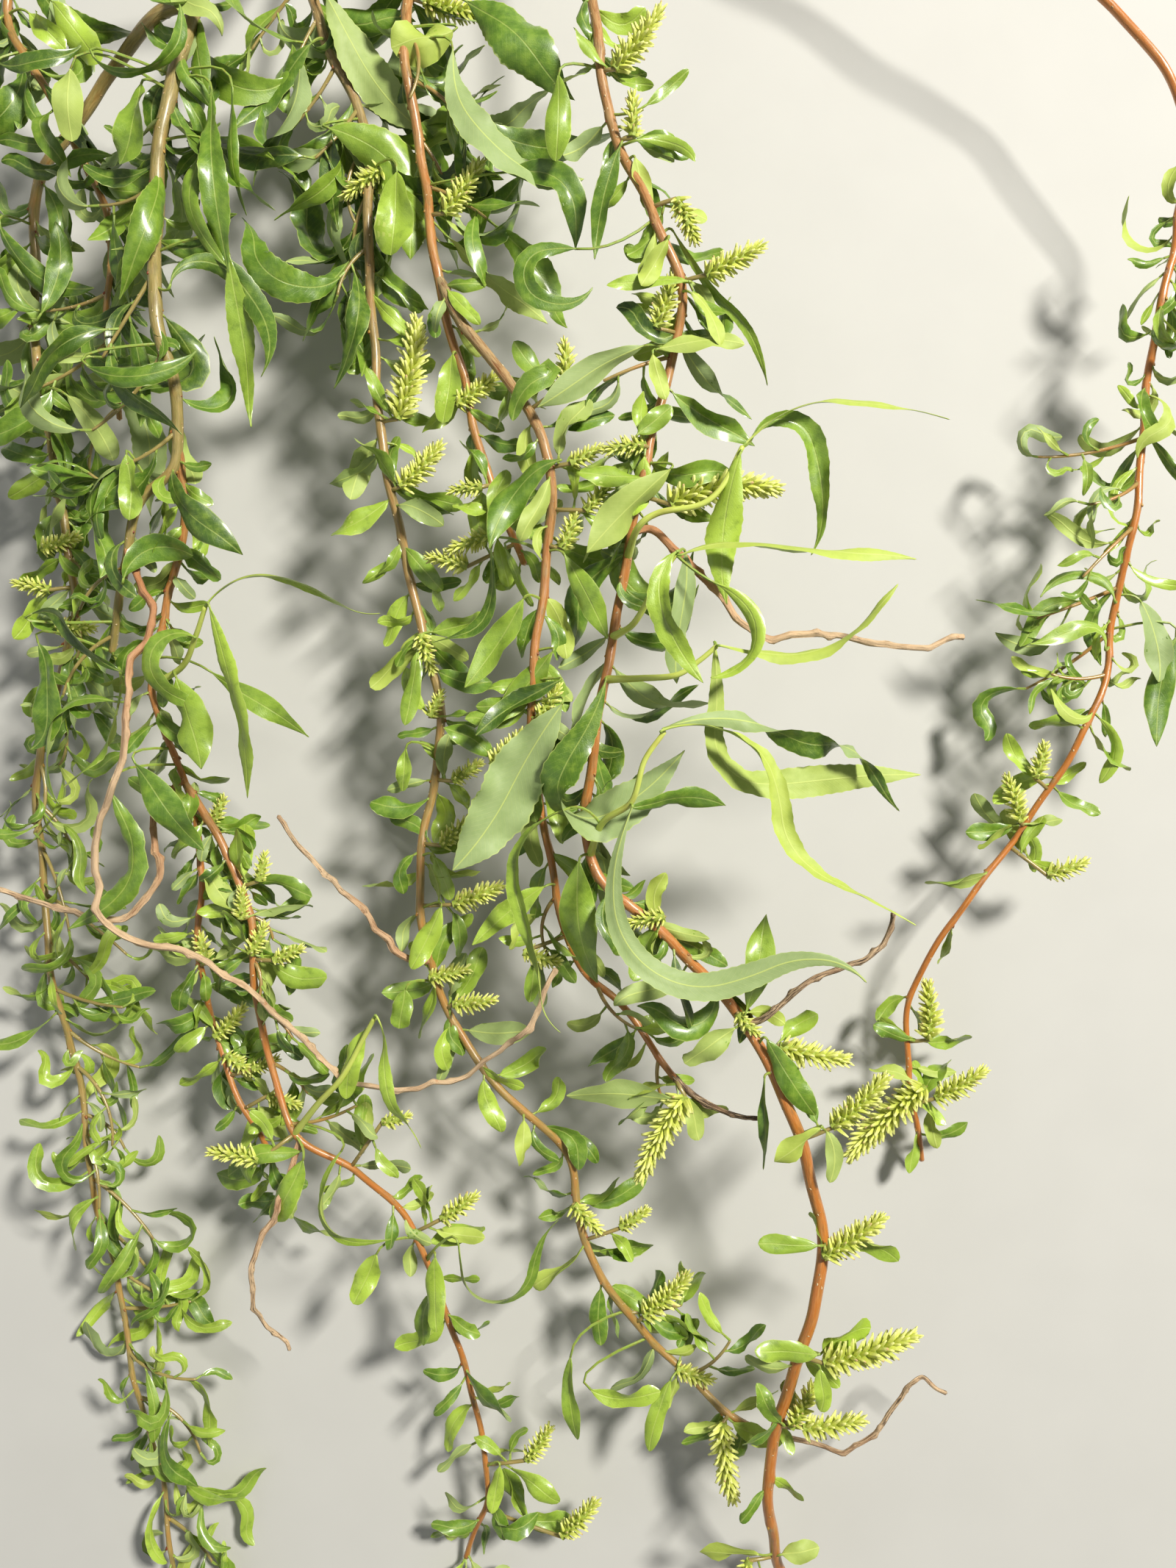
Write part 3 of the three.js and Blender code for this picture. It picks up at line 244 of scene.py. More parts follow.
# The stems. One with a carrier starts on that stem's axis, at the first place of its route. Each node ends
# where the stem passes the place given for it, and is dressed as its last word says. The tone goes from 0,
# orange-brown, to 1, olive. Old gives how old the bark is where the stem starts, and over what length that
# fades.
STEMS = {
    "left": dict(
        route=[
            (-38, 398, 7), (-62, 362, 18), (-95, 322, 40), (-122, 290, 56), (-134, 267, 64),
            (-140, 240, 68), (-147, 205, 72), (-147, 165, 74), (-141, 137, 72), (-141, 111, 70),
            (-152, 96, 66), (-157, 72, 60), (-163, 45, 52),
        ],
        radius=(5.6, 4.4, 3.3, 2.6, 2.4, 2.25, 1.75, 1.3), tone=0.8, old=(0.95, 260),
        nodes=[
            ("cut_bough", 285, None), ("left_shoot_top", 190, "lush"),
            ("left_shoot_middle", 112, "leafy"), ("left_shoot_lower", None, "leafy"),
        ],
    ),
    "left_fork": dict(
        carrier="left",
        route=[
            (-134, 267), (-147, 261, 58), (-163, 242, 44), (-176, 219, 34), (-188, 200, 29),
            (-188, 160, 30), (-183, 112, 34), (-174, 66, 34), (-181, 35, 30), (-187, -5, 26),
            (-184, -50, 23), (-174, -100, 21), (-166, -145, 17), (-155, -195, 14), (-146, -235, 10),
            (-138, -280, 5),
        ],
        radius=(2.5, 1.7, 1.5, 1.3, 1.1, 0.9), tone=0.7,
        nodes=[
            ("left_fork_limb", 210, None), ("left_edge_shoot_upper", 125, "lush"),
            ("left_edge_shoot_lower", 30, "clusters"), ("far_left_shoot_upper", -115, "young"),
            ("far_left_shoot_lower", None, "young"),
        ],
    ),
    "left_arch": dict(
        carrier="left",
        route=[
            (-110, 304), (-152, 308, 58), (-189, 288, 60), (-198, 262, 56), (-184, 236, 54),
            (-171, 210, 52), (-162, 185, 48), (-163, 155, 44), (-160, 125, 38),
        ],
        radius=(2.4, 1.6, 1.4, 1.2, 1), tone=0.5,
        nodes=[
            ("left_arch_limb", 285, None), ("left_arch_shoot", None, "lush"),
        ],
    ),
    "middle": dict(
        carrier="left",
        route=[
            (-76, 346), (-95, 290, 42), (-90, 255, 48), (-76, 222, 53), (-74, 167, 54), (-70, 118, 52),
            (-59, 62, 48), (-50, 22, 45), (-57, -28, 42), (-51, -70, 40), (-31, -102, 36),
            (-8, -125, 34), (0, -158, 31), (20, -188, 29), (44, -210, 27), (62, -222, 25),
        ],
        radius=(2.7, 1.8, 1.6, 1.55, 1.5, 1.45, 1.35), tone=0.6, old=(0.8, 330),
        nodes=[
            ("middle_limb", 285, None), ("middle_shoot_top", 180, "lush"),
            ("middle_shoot_upper", 60, "spurs"), ("middle_shoot_middle", -60, "spurs"),
            ("middle_shoot_lower", None, "spurs"),
        ],
    ),
    "centre": dict(
        carrier="left",
        route=[
            (-56, 371), (-48, 335, 34), (-58, 290, 50), (-62, 250, 58), (-57, 215, 62), (-50, 167, 63),
            (-42, 137, 62), (-36, 111, 60), (-22, 75, 55),
        ],
        radius=(2.6, 1.9, 1.7, 1.6, 1.3), tone=0.35, old=(0.8, 300),
        nodes=[
            ("centre_limb", 285, None), ("centre_shoot_top", 180, "lush"),
            ("centre_shoot_lower", None, "spurs"),
        ],
    ),
    "inner": dict(
        carrier="centre",
        route=[
            (-51, 172), (-43, 157, 68), (-24, 133, 72), (-13, 108, 74), (-14, 77, 74), (-18, 44, 70),
            (-19, 12, 63), (-14, -19, 56), (-5, -58, 50), (11, -75, 47), (29, -99, 46),
        ],
        radius=(1.9, 1.7, 1.5, 1.4, 1.3, 1.2), tone=0.3, old=(0.9, 150),
        nodes=[
            ("inner_shoot_upper", 50, "spurs"), ("inner_shoot_lower", None, "spurs"),
        ],
    ),
    "right": dict(
        carrier="left",
        route=[
            (-45, 388), (-18, 350, 34), (-2, 305, 56), (2, 262, 70), (8, 226, 78), (22, 193, 82),
            (32, 165, 82), (26, 135, 80), (18, 102, 78), (10, 58, 75), (1, 5, 73), (2, -28, 72),
            (30, -55, 70), (55, -84, 68), (71, -118, 66), (80, -155, 62), (76, -178, 58),
            (66, -215, 52), (61, -238, 43), (64, -262, 31), (70, -290, 16), (64, -316, 4),
        ],
        radius=(3, 2.4, 1.8, 1.6, 1.5, 1.55, 1.75, 2.05, 2.05, 1.95, 1.7), tone=0.22, old=(0.95, 430),
        nodes=[
            ("right_limb", 285, None), ("right_shoot_top", 165, "spurs"),
            ("right_shoot_upper", 60, "leafy"), ("right_shoot_middle", -75, "leafy"),
            ("right_shoot_lower", -190, None), ("right_shoot_tip", None, "sparse"),
        ],
    ),
    "far_right": dict(
        carrier="right",
        route=[
            (-18, 350), (40, 345, 50), (110, 318, 58), (170, 275, 56), (203, 225, 50), (201, 190, 46),
            (193, 158, 43), (189, 115, 42), (180, 62, 40), (175, 33, 38), (150, -13, 34),
            (128, -40, 31), (111, -70, 26), (109, -101, 19), (114, -128, 10),
        ],
        radius=(2.7, 2, 1.6, 1.4, 1.25, 1.15, 1.1), tone=0.1, old=(0.9, 90),
        nodes=[
            ("far_right_limb_upper", 292, None), ("far_right_limb_lower", 205, None),
            ("far_right_shoot_upper", 100, "young"), ("far_right_shoot_middle", 25, "young"),
            ("far_right_shoot_lower", None, "sparse"),
        ],
    ),
    "lower_left": dict(
        carrier="left",
        route=[
            (-141, 114), (-137, 90, 60), (-144, 60, 54), (-147, 30, 50), (-138, 2, 46), (-131, -30, 42),
            (-132, -62, 38), (-124, -94, 34), (-109, -124, 32), (-104, -148, 28),
        ],
        radius=(1.5, 1.25, 1.15, 1), tone=0.3,
        nodes=[
            ("lower_left_shoot_upper", -15, "clusters"), ("lower_left_shoot_lower", None, "clusters"),
        ],
    ),
    "low": dict(
        carrier="lower_left",
        route=[
            (-138, 0), (-124, -22, 50), (-114, -48, 49), (-112, -80, 47), (-100, -117, 45),
            (-78, -132, 43), (-60, -152, 40), (-47, -182, 34), (-38, -215, 26), (-34, -240, 17),
            (-42, -264, 8),
        ],
        radius=(1.5, 1.25, 1.15, 1), tone=0.3,
        nodes=[
            ("low_shoot_upper", -112, "clusters"), ("low_shoot_middle", -176, "spurs"),
            ("low_shoot_tip", None, "spurs"),
        ],
    ),
}

# This year's green sprays, by node: the stem that carries each, and its route
SPRAYS = {
    "green_spray_main": ("right", [(1, -24), (5, -13, 84), (15, -6, 92), (19, 8, 96), (26, 18, 98)]),
    "green_spray_upper": (
        "right", [(13, 77), (17, 87, 86), (24, 92, 89), (38, 95, 92), (46, 102, 94), (53, 115, 96)],
    ),
    "green_spray_side": ("right", [(7, 35), (18, 36, 84), (30, 37, 90), (38, 42, 93), (44, 47, 95)]),
    "green_spray_rising": ("right", [(9, 50), (15, 54, 86), (20, 62, 91), (24, 70, 94), (30, 78, 96)]),
    "green_spray_left": ("lower_left", [(-147, 34), (-138, 40, 62), (-133, 50, 70), (-130, 60, 76)]),
    "green_spray_low": (
        "low", [(-99, -118), (-92, -109, 56), (-84, -100, 63), (-77, -88, 68), (-73, -80, 72)],
    ),
}
for spray, (carrier, route) in SPRAYS.items():
    STEMS[spray] = dict(
        carrier=carrier, route=route, radius=(1.2, 0.8), look="young", nodes=[(spray, None, None)]
    )

# The dead twigs, by their last node: the stem that carries each, its tone, its radii and its route
DEAD_TWIGS = {
    "dry_twig_loop_lower": ("left", 0.9, (1.15, 0.75), [
        (-156, 79), (-149, 58, 68), (-156, 38, 74), (-157, 10, 76), (-168, -15, 74), (-166, -43, 70),
        (-151, -54, 66), (-131, -59, 62), (-100, -84, 58), (-79, -102, 57), (-47, -101, 58),
        (-20, -82, 62), (-11, -63, 66),
    ]),
    "dry_twig_left": ("lower_left", 0.7, (1.15, 0.7), [
        (-138, 2), (-147, -12, 52), (-146, -31, 54), (-160, -46, 56), (-187, -41, 52), (-216, -28, 44),
    ]),
    "dry_twig_right": ("right", 0.85, (1.15, 0.8), [
        (14, 86), (22, 86, 78), (30, 79, 82), (45, 64, 86), (61, 50, 85), (85, 52, 83), (106, 46, 81),
        (127, 50, 80),
    ]),
    "dry_twig_lower_right": ("right", 0.35, (1.1, 0.75), [
        (53, -81), (63, -77, 72), (76, -67, 74), (88, -62, 76), (95, -60, 77), (100, -55, 78),
        (103, -50, 79), (104, -43, 80),
    ]),
    "dry_twig_middle": ("middle", 0.6, (1.1, 0.75), [
        (-54, -60), (-62, -60, 44), (-75, -45, 48), (-96, -24, 52), (-105, -11, 54),
    ]),
    "dry_twig_hanging": ("low", 0.6, (1, 0.65), [
        (-97, -120), (-106, -145, 50), (-115, -163, 48), (-111, -182, 44), (-102, -194, 40),
    ]),
    "dry_tip_lower": ("middle", 0.5, (1, 0.65), [
        (62, -222), (75, -224, 25), (88, -226, 27), (98, -220, 28), (107, -210, 30), (109, -206, 32),
        (114, -203, 31), (119, -207, 30), (122, -208, 30),
    ]),
    "dry_tip_inner": ("inner", 0.1, (1, 0.7), [
        (29, -99), (38, -107, 48), (48, -112, 50), (60, -115, 52),
    ]),
}
for twig, (carrier, tone, radius, route) in DEAD_TWIGS.items():
    STEMS[twig] = dict(
        carrier=carrier, route=route, radius=radius, tone=tone, look="dry", nodes=[(twig, None, None)]
    )
STEMS["dry_twig_loop_lower"]["nodes"].insert(0, ("dry_twig_loop_upper", -55, None))

# The leaves that show one by one: the blade's start across and along and its height above the stem, its
# length and width, then its headings, its rolls about its midrib and its climbs, in degrees at even stages
# of its length. Last come its tone, from 0, painted shade green above and bloomed below, to 1, fresh
# yellow-green, and the share of its length where it is widest. What a row leaves out is as the first line
# says.
ListedLeaf = namedtuple(
    "ListedLeaf", "u v lift length width headings rolls climbs fresh widest", defaults=([10], [0], None, None)
)
LEAVES = {
    "green_spray_main": [
        (15, -8, 3, 128, 10, [-112, -102, -84, -52, -20, 15, 25, -5, -50], [180, 180, 170, 160], [0], 0.1),
        (25, 18, 2, 110, 7, [22, -8, -32, -70, -84, -48, -24, -28, -31],
         [112, 112, 140, 165, 122, 115, 150], [0], 0.92),
        (26, 19, -2, 88, 9, [20, 8, -5, -18, -24, 5, -45, -62, -45],
         [170, 165, 150, 60, 30, 150, 20, 10], [0, -9, -8], 0.25),
        (-3, -26, 4, 42, 13, [-96, -90, -75, -62], [15], [0], 0.7),
        (14, -8, -3, 32, 8, [5, 18, -5, -25], [30], [0], 0.5),
        (-6, -8, 3, 88, 6, [-165, -135, -98, -72, -72, -88, -35], [70, 40, 80], [-8, 0], 0.8),
    ],
    "green_spray_upper": [
        (54, 116, 0, 68, 5, [48, 25, -5, -8, -18], [125, 112, 118], [0], 1.0),
        (52, 113, 2, 48, 11, [-108, -100, -92, -75], [10], [-6]),
        (56, 118, -3, 62, 8, [65, 0, -70, -80, -95, -120], [30, 10, 40], [-5]),
    ],
    "green_spray_side": [
        (45, 47, 2, 64, 7, [-12, -8, 20, 45, 52], [130, 118, 112, 150], [0], 1.0),
        (43, 48, -2, 106, 10.5, [-84, -88, -96, -52, -2, 6, 6, 2, 0],
         [158, 165, 160, 170, 150], [-12, 0], 0.75),
        (6, 35, 4, 93, 17, [-105, -115, -122, -112, -40, 22, 35, 45, 50],
         [10, 0, 0, 10, 70, 150, 175, 180, 180], [0], 0.3, 0.64),
    ],
    "green_spray_rising": [
        (32, 78, 1, 74, 7, [25, 0, -8, -5, 0, -10], [128, 112, 120, 160], [0], 1.0),
        (30, 79, 3, 46, 9, [-140, -95, -68, -58, -50], [15]),
        (33, 79, -3, 42, 10, [-80, -100, -98, -80], [150], [-12], 0.3),
        (44, 68, 4, 42, 6, [-25, -48, -92, -140, -178], [40]),
    ],
    "inner_shoot_lower": [
        (-9, 27, 9, 66, 22, [-125, -122, -117, -125, -135], [175], [0, -5]),
        (-15, -35, 6, 32, 9, [-150, -138, -138], [10], [0], 0.85),
        (29, -107, 3, 38, 11, [178, 176, 184], [160]),
        (-12, 45, 3, 35, 9, [-128, -130, -134], [10], [-4]),
        (-10, 35, 5, 34, 8, [-155, -150, -133], [20], [-4]),
    ],
    "inner_shoot_upper": [
        (-22, 63, 3, 36, 10, [-118, -124, -130], [8], [-4]),
        (-33, 80, -5, 44, 6, [-86, -90, -113, -162, -165], [30, 60]),
        (-28, 80, -3, 22, 4, [-65, -70, -53], [40]),
        (-10, 110, 5, 40, 11, [-168, -135, -115, -100], [5]),
        (-14, 138, 4, 30, 8, [178, -165, -130, -95]),
        (-8, 78, 4, 32, 9, [-60, -66]),
    ],
    "middle_shoot_top": [
        (-65, 208, 14, 28, 14, [-92, -96], [8]),
        (-89, 268, 8, 60, 16, [-62, -60, -52, -40], [175]),
        (-88, 223, 12, 58, 19, [-12, -25, -62, -90, -92], [25, 0, -20, -10], [0, -10]),
        (-87, 221, 6, 32, 9, [-100, -88, -75], [10], [-8]),
        (-94, 252, 6, 42, 10, [-136, -132, -128]),
    ],
    "middle_shoot_middle": [
        (-58, 45, 4, 26, 7, [-95, -100, -104]),
        (-62, 12, 4, 15, 6, [-94], [15]),
        (-52, -25, 4, 16, 6, [-66, -74]),
        (-50, -42, 5, 24, 8, [-112, -120]),
    ],
    "centre_shoot_top": [
        (-46, 250, 5, 74, 13, [-92, -78, -55, -38, -12, 15], [150, 160, 175]),
        (-41, 266, 12, 50, 18, [-35, -42, -50, -30], [10], [5, -10]),
        (-46, 256, 3, 22, 16, [-150, -175, -160], [175]),
        (-28, 208, 8, 43, 11, [5, -10, -50, -88, -95], [10, 5, 20], [0], 0.35),
    ],
    "right_shoot_top": [
        (-4, 182, 2, 50, 8, [175, 190, 262, 330, 368, 420], [20, 0, 30], [0], 0.4),
        (-10, 241, 3, 28, 9, [-88, -92, -95]),
        (11, 217, 6, 36, 7, [-115, -102, -95], [10], [-8]),
        (34, 171, 6, 26, 5, [172, 185, 190]),
        (35, 167, 4, 20, 6, [-30, -65, -85], [150]),
        (29, 188, -3, 60, 4, [-60, -50, -45, -70, -80], [60, 30, 70]),
        (20, 231, 4, 18, 4, [40], [20]),
        (17, 219, 5, 22, 4, [15, -15, -70], [20]),
        (16, 213, 3, 18, 6, [-75], [160]),
        (27, 185, 6, 17, 7, [-120], [170]),
    ],
    "right_shoot_upper": [
        (24, 148, 6, 28, 7, [10, 8, -15], [160]),
        (19, 149, 4, 40, 11, [-160, -145, -150], [150]),
        (22, 146, 6, 15, 6, [-78, -70], [175]),
        (28, 107, 6, 38, 13, [-140, -135, -130], [150]),
        (17, 119, 6, 14, 7, [40, 38]),
        (18, 104, 5, 20, 7, [175], [15]),
    ],
    "left_shoot_top": [
        (-128, 236, 6, 62, 10, [-88, -84, -86, -80]),
        (-131, 216, 4, 44, 8, [-110, -95, -60, -45], [25]),
        (-152, 238, 5, 28, 11, [-95, -100, -125], [20]),
        (-176, 243, 4, 24, 10, [-95, -88, -85], [175]),
        (-168, 247, 8, 48, 6, [-50, -8, 30, 80, 105], [60, 80, 40]),
        (-121, 237, 6, 43, 5, [-90, -88, -68], [40]),
    ],
    "left_arch_shoot": [
        (-182, 266, 6, 27, 10, [-50, -56]),
        (-190, 262, 4, 18, 8, [-45], [15]),
        (-200, 245, 5, 31, 7, [-18, 10, 50], [20]),
    ],
    "left_shoot_middle": [
        (-122, 180, 3, 58, 9, [-86, -82, -84], [10], [-3]),
        (-142, 170, 5, 66, 8, [80, 10, -50, -60, -80, -120], [20, 0, 30]),
        (-170, 142, 6, 40, 8, [-30, -10, 25, 50]),
    ],
    "left_edge_shoot_upper": [
        (-177, 132, 16, 28, 9, [-40, -55, -70], [170]),
        (-200, 190, 14, 44, 9, [-70, -50, -20, 10]),
        (-186, 160, 14, 34, 9, [60, 80, 105], [30]),
    ],
    "left_shoot_lower": [
        (-157, 112, 6, 22, 8, [-80, -95], [5]),
        (-158, 70, 8, 30, 10, [80, 40, -10, -30], [30]),
        (-161, 28, 12, 58, 7, [165, 190, 255, 280, 310], [40, 70, 50]),
        (-160, 26, 15, 34, 5, [-105, -120, -130, -140], [78]),
        (-189, 58, 8, 40, 7, [20, -50, -48, -20], [50, 30]),
        (-187, 48, 4, 42, 11, [-60, -80, -100, -150]),
    ],
    "green_spray_left": [
        (-129, 61, 2, 66, 9, [-72, -70, -75, -88, -92], [40, 30, 60]),
        (-129, 62, 0, 62, 4, [50, 20, -12, -25, -30, 10], [78]),
        (-134, 50, 2, 44, 8, [150, 215, 280, 330, 345], [30, 10], [-8]),
        (-140, 36, 8, 32, 13, [-70, -72, -85]),
    ],
    "lower_left_shoot_upper": [
        (-154, 7, 14, 38, 12, [-52, -55, -45]),
        (-162, -3, 16, 60, 9, [-65, -62, -88, -130, -152, -150]),
        (-128, 38, 8, 40, 8, [-35, -30, -40]),
    ],
    "green_spray_low": [
        (-98, -125, 2, 30, 7, [-170, -190, -120, -60], [20], [-8]),
        (-97, -128, 4, 26, 10, [-110, -118, -120], [10], [-8]),
        (-84, -125, 6, 52, 5, [-130, -108, -85, -45, -10, 10], [60, 30], [-8]),
        (-72, -79, 2, 48, 5, [-60, -90, -80, -50, -70], [60, 20, 70]),
        (-76, -84, -3, 26, 7, [-120, -105, -95], [10], [-10]),
    ],
    "low_shoot_middle": [
        (-52, -161, 8, 27, 8, [-95, -88, -85]),
        (-44, -157, 10, 72, 5, [-85, -82, -30, 30, 80, 70, 40], [70, 40, 60]),
        (-72, -160, 6, 20, 9, [-110, -120]),
    ],
    "low_shoot_tip": [
        (-30, -232, 4, 18, 6, [-98, -102]),
    ],
    "middle_shoot_lower": [
        (28, -203, 6, 27, 7, [-115, -108, -95]),
        (1, -206, 6, 26, 8, [-30, 5, 15]),
        (-6, -195, 6, 30, 7, [-95, -85, -75], [30]),
        (-62, -70, 4, 14, 9, [-100]),
    ],
    "centre_shoot_lower": [
        (-46, 146, 4, 24, 9, [-98]),
    ],
    "right_shoot_lower": [
        (50, -83, 4, 21, 9, [-150, -140], [165]),
        (60, -100, 3, 31, 5, [-92, -88, -95], [60]),
        (54, -77, 6, 33, 11, [72, 82, 78], [-10], [0], 0.75),
        (61, -87, 5, 30, 9, [-62, -58, -52]),
        (79, -117, 5, 19, 9, [-145, -140, -150], [150]),
        (81, -118, 3, 18, 6, [-55, -90, -110], [175]),
        (78, -157, 5, 20, 7, [178, 176, 182]),
        (84, -155, -4, 24, 8, [10, -20, -45], [30]),
    ],
    "right_shoot_tip": [
        (78, -194, 5, 22, 8, [182, 178, 170]),
        (80, -193, -3, 20, 10, [55, 30, -10], [20]),
        (79, -199, 4, 15, 6, [-88, -80, -110]),
        (58, -262, 4, 22, 9, [165, 178, 190], [150]),
        (66, -262, 4, 14, 8, [15, 5], [140]),
    ],
    "far_right_shoot_middle": [
        (179, 63, 5, 34, 6, [100, 160, 205, 240], [30]),
        (176, 47, 6, 32, 7, [80, 190, 205, 185], [20]),
        (188, 62, 2, 30, 10, [-60, -75, -100], [175]),
        (200, 50, 4, 40, 11, [-110, -100, -90]),
    ],
}

# The catkins that show one by one, by the stem that carries them: where the flowers start, as (across,
# along), their heading in degrees, how far it turns along them, and their length.
CATKINS = {
    "right": [
        (9, 243, 48, 8, 23), (15, 220, 84, 12, 13), (30, 199, -65, 0, 14), (23, 155, 66, 10, 17),
        (40, 173, 24, 8, 19), (19, 115, 180, 12, 12), (28, 95, 28, -38, 34), (26, -45, 188, 10, 12),
        (51, -78, -60, 30, 9), (65, -89, -20, 16, 22), (83, -117, 36, 14, 23), (80, -161, 26, 16, 23),
        (80, -197, 10, 14, 31), (69, -219, 56, 14, 16), (73, -219, 2, 10, 20), (55, -264, -120, 20, 10),
    ],
    "middle": [
        (-70, 209, -150, 12, 15), (-65, 124, 70, 16, 33), (-64, 101, 38, 16, 19), (-57, 51, -78, 12, 13),
        (-46, 1, 30, 8, 11), (-46, -41, 16, 10, 17), (-54, -66, 10, 6, 13), (-46, -75, 2, 8, 14),
        (-5, -143, -50, 8, 13), (11, -151, 30, 6, 11), (19, -181, 36, 14, 21), (30, -199, -22, 8, 13),
        (46, -217, -92, 18, 27), (-50, -21, 40, 8, 12), (-54, 23, 60, 6, 9),
    ],
    "centre": [
        (-49, 194, 48, 12, 20), (-45, 129, 30, 10, 16), (-36, 101, 184, 6, 10), (-34, 84, 194, 10, 13),
        (-41, 74, 162, 8, 13),
    ],
    "inner": [
        (-8, 135, 84, 12, 14), (-6, 109, 24, 6, 10), (-9, 80, 62, 12, 12), (-1, 93, 44, 6, 11),
        (-33, 6, 42, 10, 15), (-22, -57, -22, 8, 12), (33, -106, -126, 14, 31),
        (-17, 22, 55, 8, 12),
    ],
    "far_right": [
        (115, -103, -146, 16, 37), (118, -107, 24, 12, 20), (116, -87, 86, 12, 20), (152, 2, 68, 10, 12),
        (147, -13, 100, 12, 16), (156, -31, 14, 8, 14),
    ],
    "low": [
        (-50, -148, 30, 8, 14), (-21, -230, 48, 12, 14), (-9, -256, 40, 12, 17), (-112, -128, 164, 12, 16),
        (-112, -33, 75, 6, 9), (-118, -46, 85, 8, 10), (-115, -58, 60, 8, 11), (-107, -60, 20, 8, 10),
        (-70, -115, 10, 6, 9),
    ],
    "lower_left": [
        (-127, -86, 40, 10, 14), (-128, -13, 60, 8, 9), (-130, -61, 100, 8, 11), (-123, -92, -40, 8, 10),
        (-114, -97, 20, 8, 9), (-109, -106, -20, 8, 11),
    ],
    "left_fork": [(-186, 80, 15, 8, 13), (-183, 66, 165, 8, 12), (-181, 54, -8, 8, 13)],
}


# Small helpers
def dice(seed):
    """A repeatable stream of numbers from 0 to 1 for one seed, by a linear congruential rule."""
    state = (seed * 2654435761) & 0xFFFFFFFF

    def roll():
        nonlocal state
        state = (state * 1664525 + 1013904223) & 0xFFFFFFFF
        return state / 4294967296

    roll()
    roll()
    return roll


def between(low, high, share):
    return low + (high - low) * share


def listed(values, shares):
    """The values, at shares from 0 to 1, of a list that is evenly spaced."""
    if len(values) == 1:
        return np.full(np.shape(shares), float(values[0]))
    return np.interp(shares, np.linspace(0, 1, len(values)), values)


def unit(vector):
    return vector / np.linalg.norm(vector, axis=-1, keepdims=True)


def bump(distance, place, length):
    """A smooth rise to 1 at a place, as a column for rings."""
    return np.exp(-(((distance - place) / length) ** 2))[:, None]


def scale_at(height):
    return 1 - (height - MIDDLE_HEIGHT) / VIEW_HEIGHT


def seen(u, v, height):
    """The point at a height that looks to be at a place across and along the picture."""
    return np.array([u * scale_at(height), v * scale_at(height), height], float)


def place_of(points):
    """Where points look to be, across and along the picture."""
    return points[..., :2] / scale_at(points[..., 2])[..., None]


def heading_vector(heading, climb):
    """Directions from headings and climbs in degrees."""
    turn, rise = np.radians(heading), np.radians(climb)
    return np.stack([np.cos(turn) * np.cos(rise), np.sin(turn) * np.cos(rise), np.sin(rise)], axis=-1)


def paint(red, green, blue):
    """A linear colour from its values as seen on a screen, from 0 to 255."""

    def linear(value):
        value = value / 255
        return value / 12.92 if value <= 0.04045 else ((value + 0.055) / 1.055) ** 2.4

    return (linear(red), linear(green), linear(blue))


# The shift from the view's middle into the frame, found from the middle of the cut face, and the CAD box
CUT_FACE = frame["record"]["mounts"][0]["pos_m"]
SHIFT = np.array(CUT_FACE) / MM - seen(*STEMS["left"]["route"][0])
LOW = np.array(CAD_BOX[0]) / MM - SHIFT
HIGH = np.array(CAD_BOX[1]) / MM - SHIFT


# Stems
def smooth(route, shares):
    """Points on a smooth curve through the route, at shares of its number of stretches."""
    route = np.asarray(route, float)
    count = len(route) - 1
    before = np.vstack([2 * route[0] - route[1], route[:-1]])
    after = np.vstack([route[1:], 2 * route[-1] - route[-2]])
    pull = 0.5 * (after - before)
    first = np.minimum((shares * count).astype(int), count - 1)
    t = (shares * count - first)[:, None]
    start, end, leave, arrive = route[first], route[first + 1], pull[first], pull[first + 1]
    cubic = 2 * start - 2 * end + leave + arrive
    square = -3 * start + 3 * end - 2 * leave - arrive
    return start + leave * t + square * t**2 + cubic * t**3


def stations(route, order):
    """Points at every millimetre of a smooth curve through the route, with the twist's rise and fall."""
    grid = np.linspace(0, 1, ARC_DIVISIONS + 1)
    lengths = np.linalg.norm(np.diff(smooth(route, grid), axis=0), axis=1)
    walked = np.concatenate([[0], np.cumsum(lengths)])
    distance = np.linspace(0, walked[-1], max(3, round(walked[-1])) + 1)
    points = smooth(route, np.interp(distance, walked, grid))
    swell = np.minimum(1, distance / WAVE_LENGTH)
    phase = order * WAVE_PHASE_STEP
    points[:, 2] += swell * WAVE_HEIGHT * np.sin(2 * np.pi * distance / WAVE_LENGTH + phase)
    for axis, length in enumerate(WRIGGLE_LENGTHS):
        turns = 2 * np.pi * distance / length
        points[:, axis] += WRIGGLE * swell * np.sin(turns + phase * (axis + 1))
    return points


def sides_of(points):
    """The directions of a path, with two sides carried along it without twisting."""
    ways = unit(np.gradient(points, axis=0))
    side = np.cross(ways[0], (0, 0, 1))
    if np.linalg.norm(side) < 0.1:
        side = np.array([1.0, 0, 0])
    sides = []
    for way in ways:
        side = side - way * side.dot(way)
        side = side / np.linalg.norm(side)
        sides.append(side)
    sides = np.array(sides)
    return ways, sides, np.cross(ways, sides)


def kinks(seed, distance):
    """The places where a dead twig bends sharply, and the shift that this gives each of its points."""
    roll = dice(seed * 53 + 9)
    places = [0.0]
    while places[-1] < distance[-1]:
        places.append(places[-1] + between(*KINK_SPACING, roll()))
    shifts = np.array([[between(-KINK, KINK, roll()) for _ in range(3)] for _ in places])
    shifts[0] = 0
    along = [np.interp(distance, places, shifts[:, axis]) for axis in range(3)]
    return places[1:-1], np.stack(along, axis=-1)


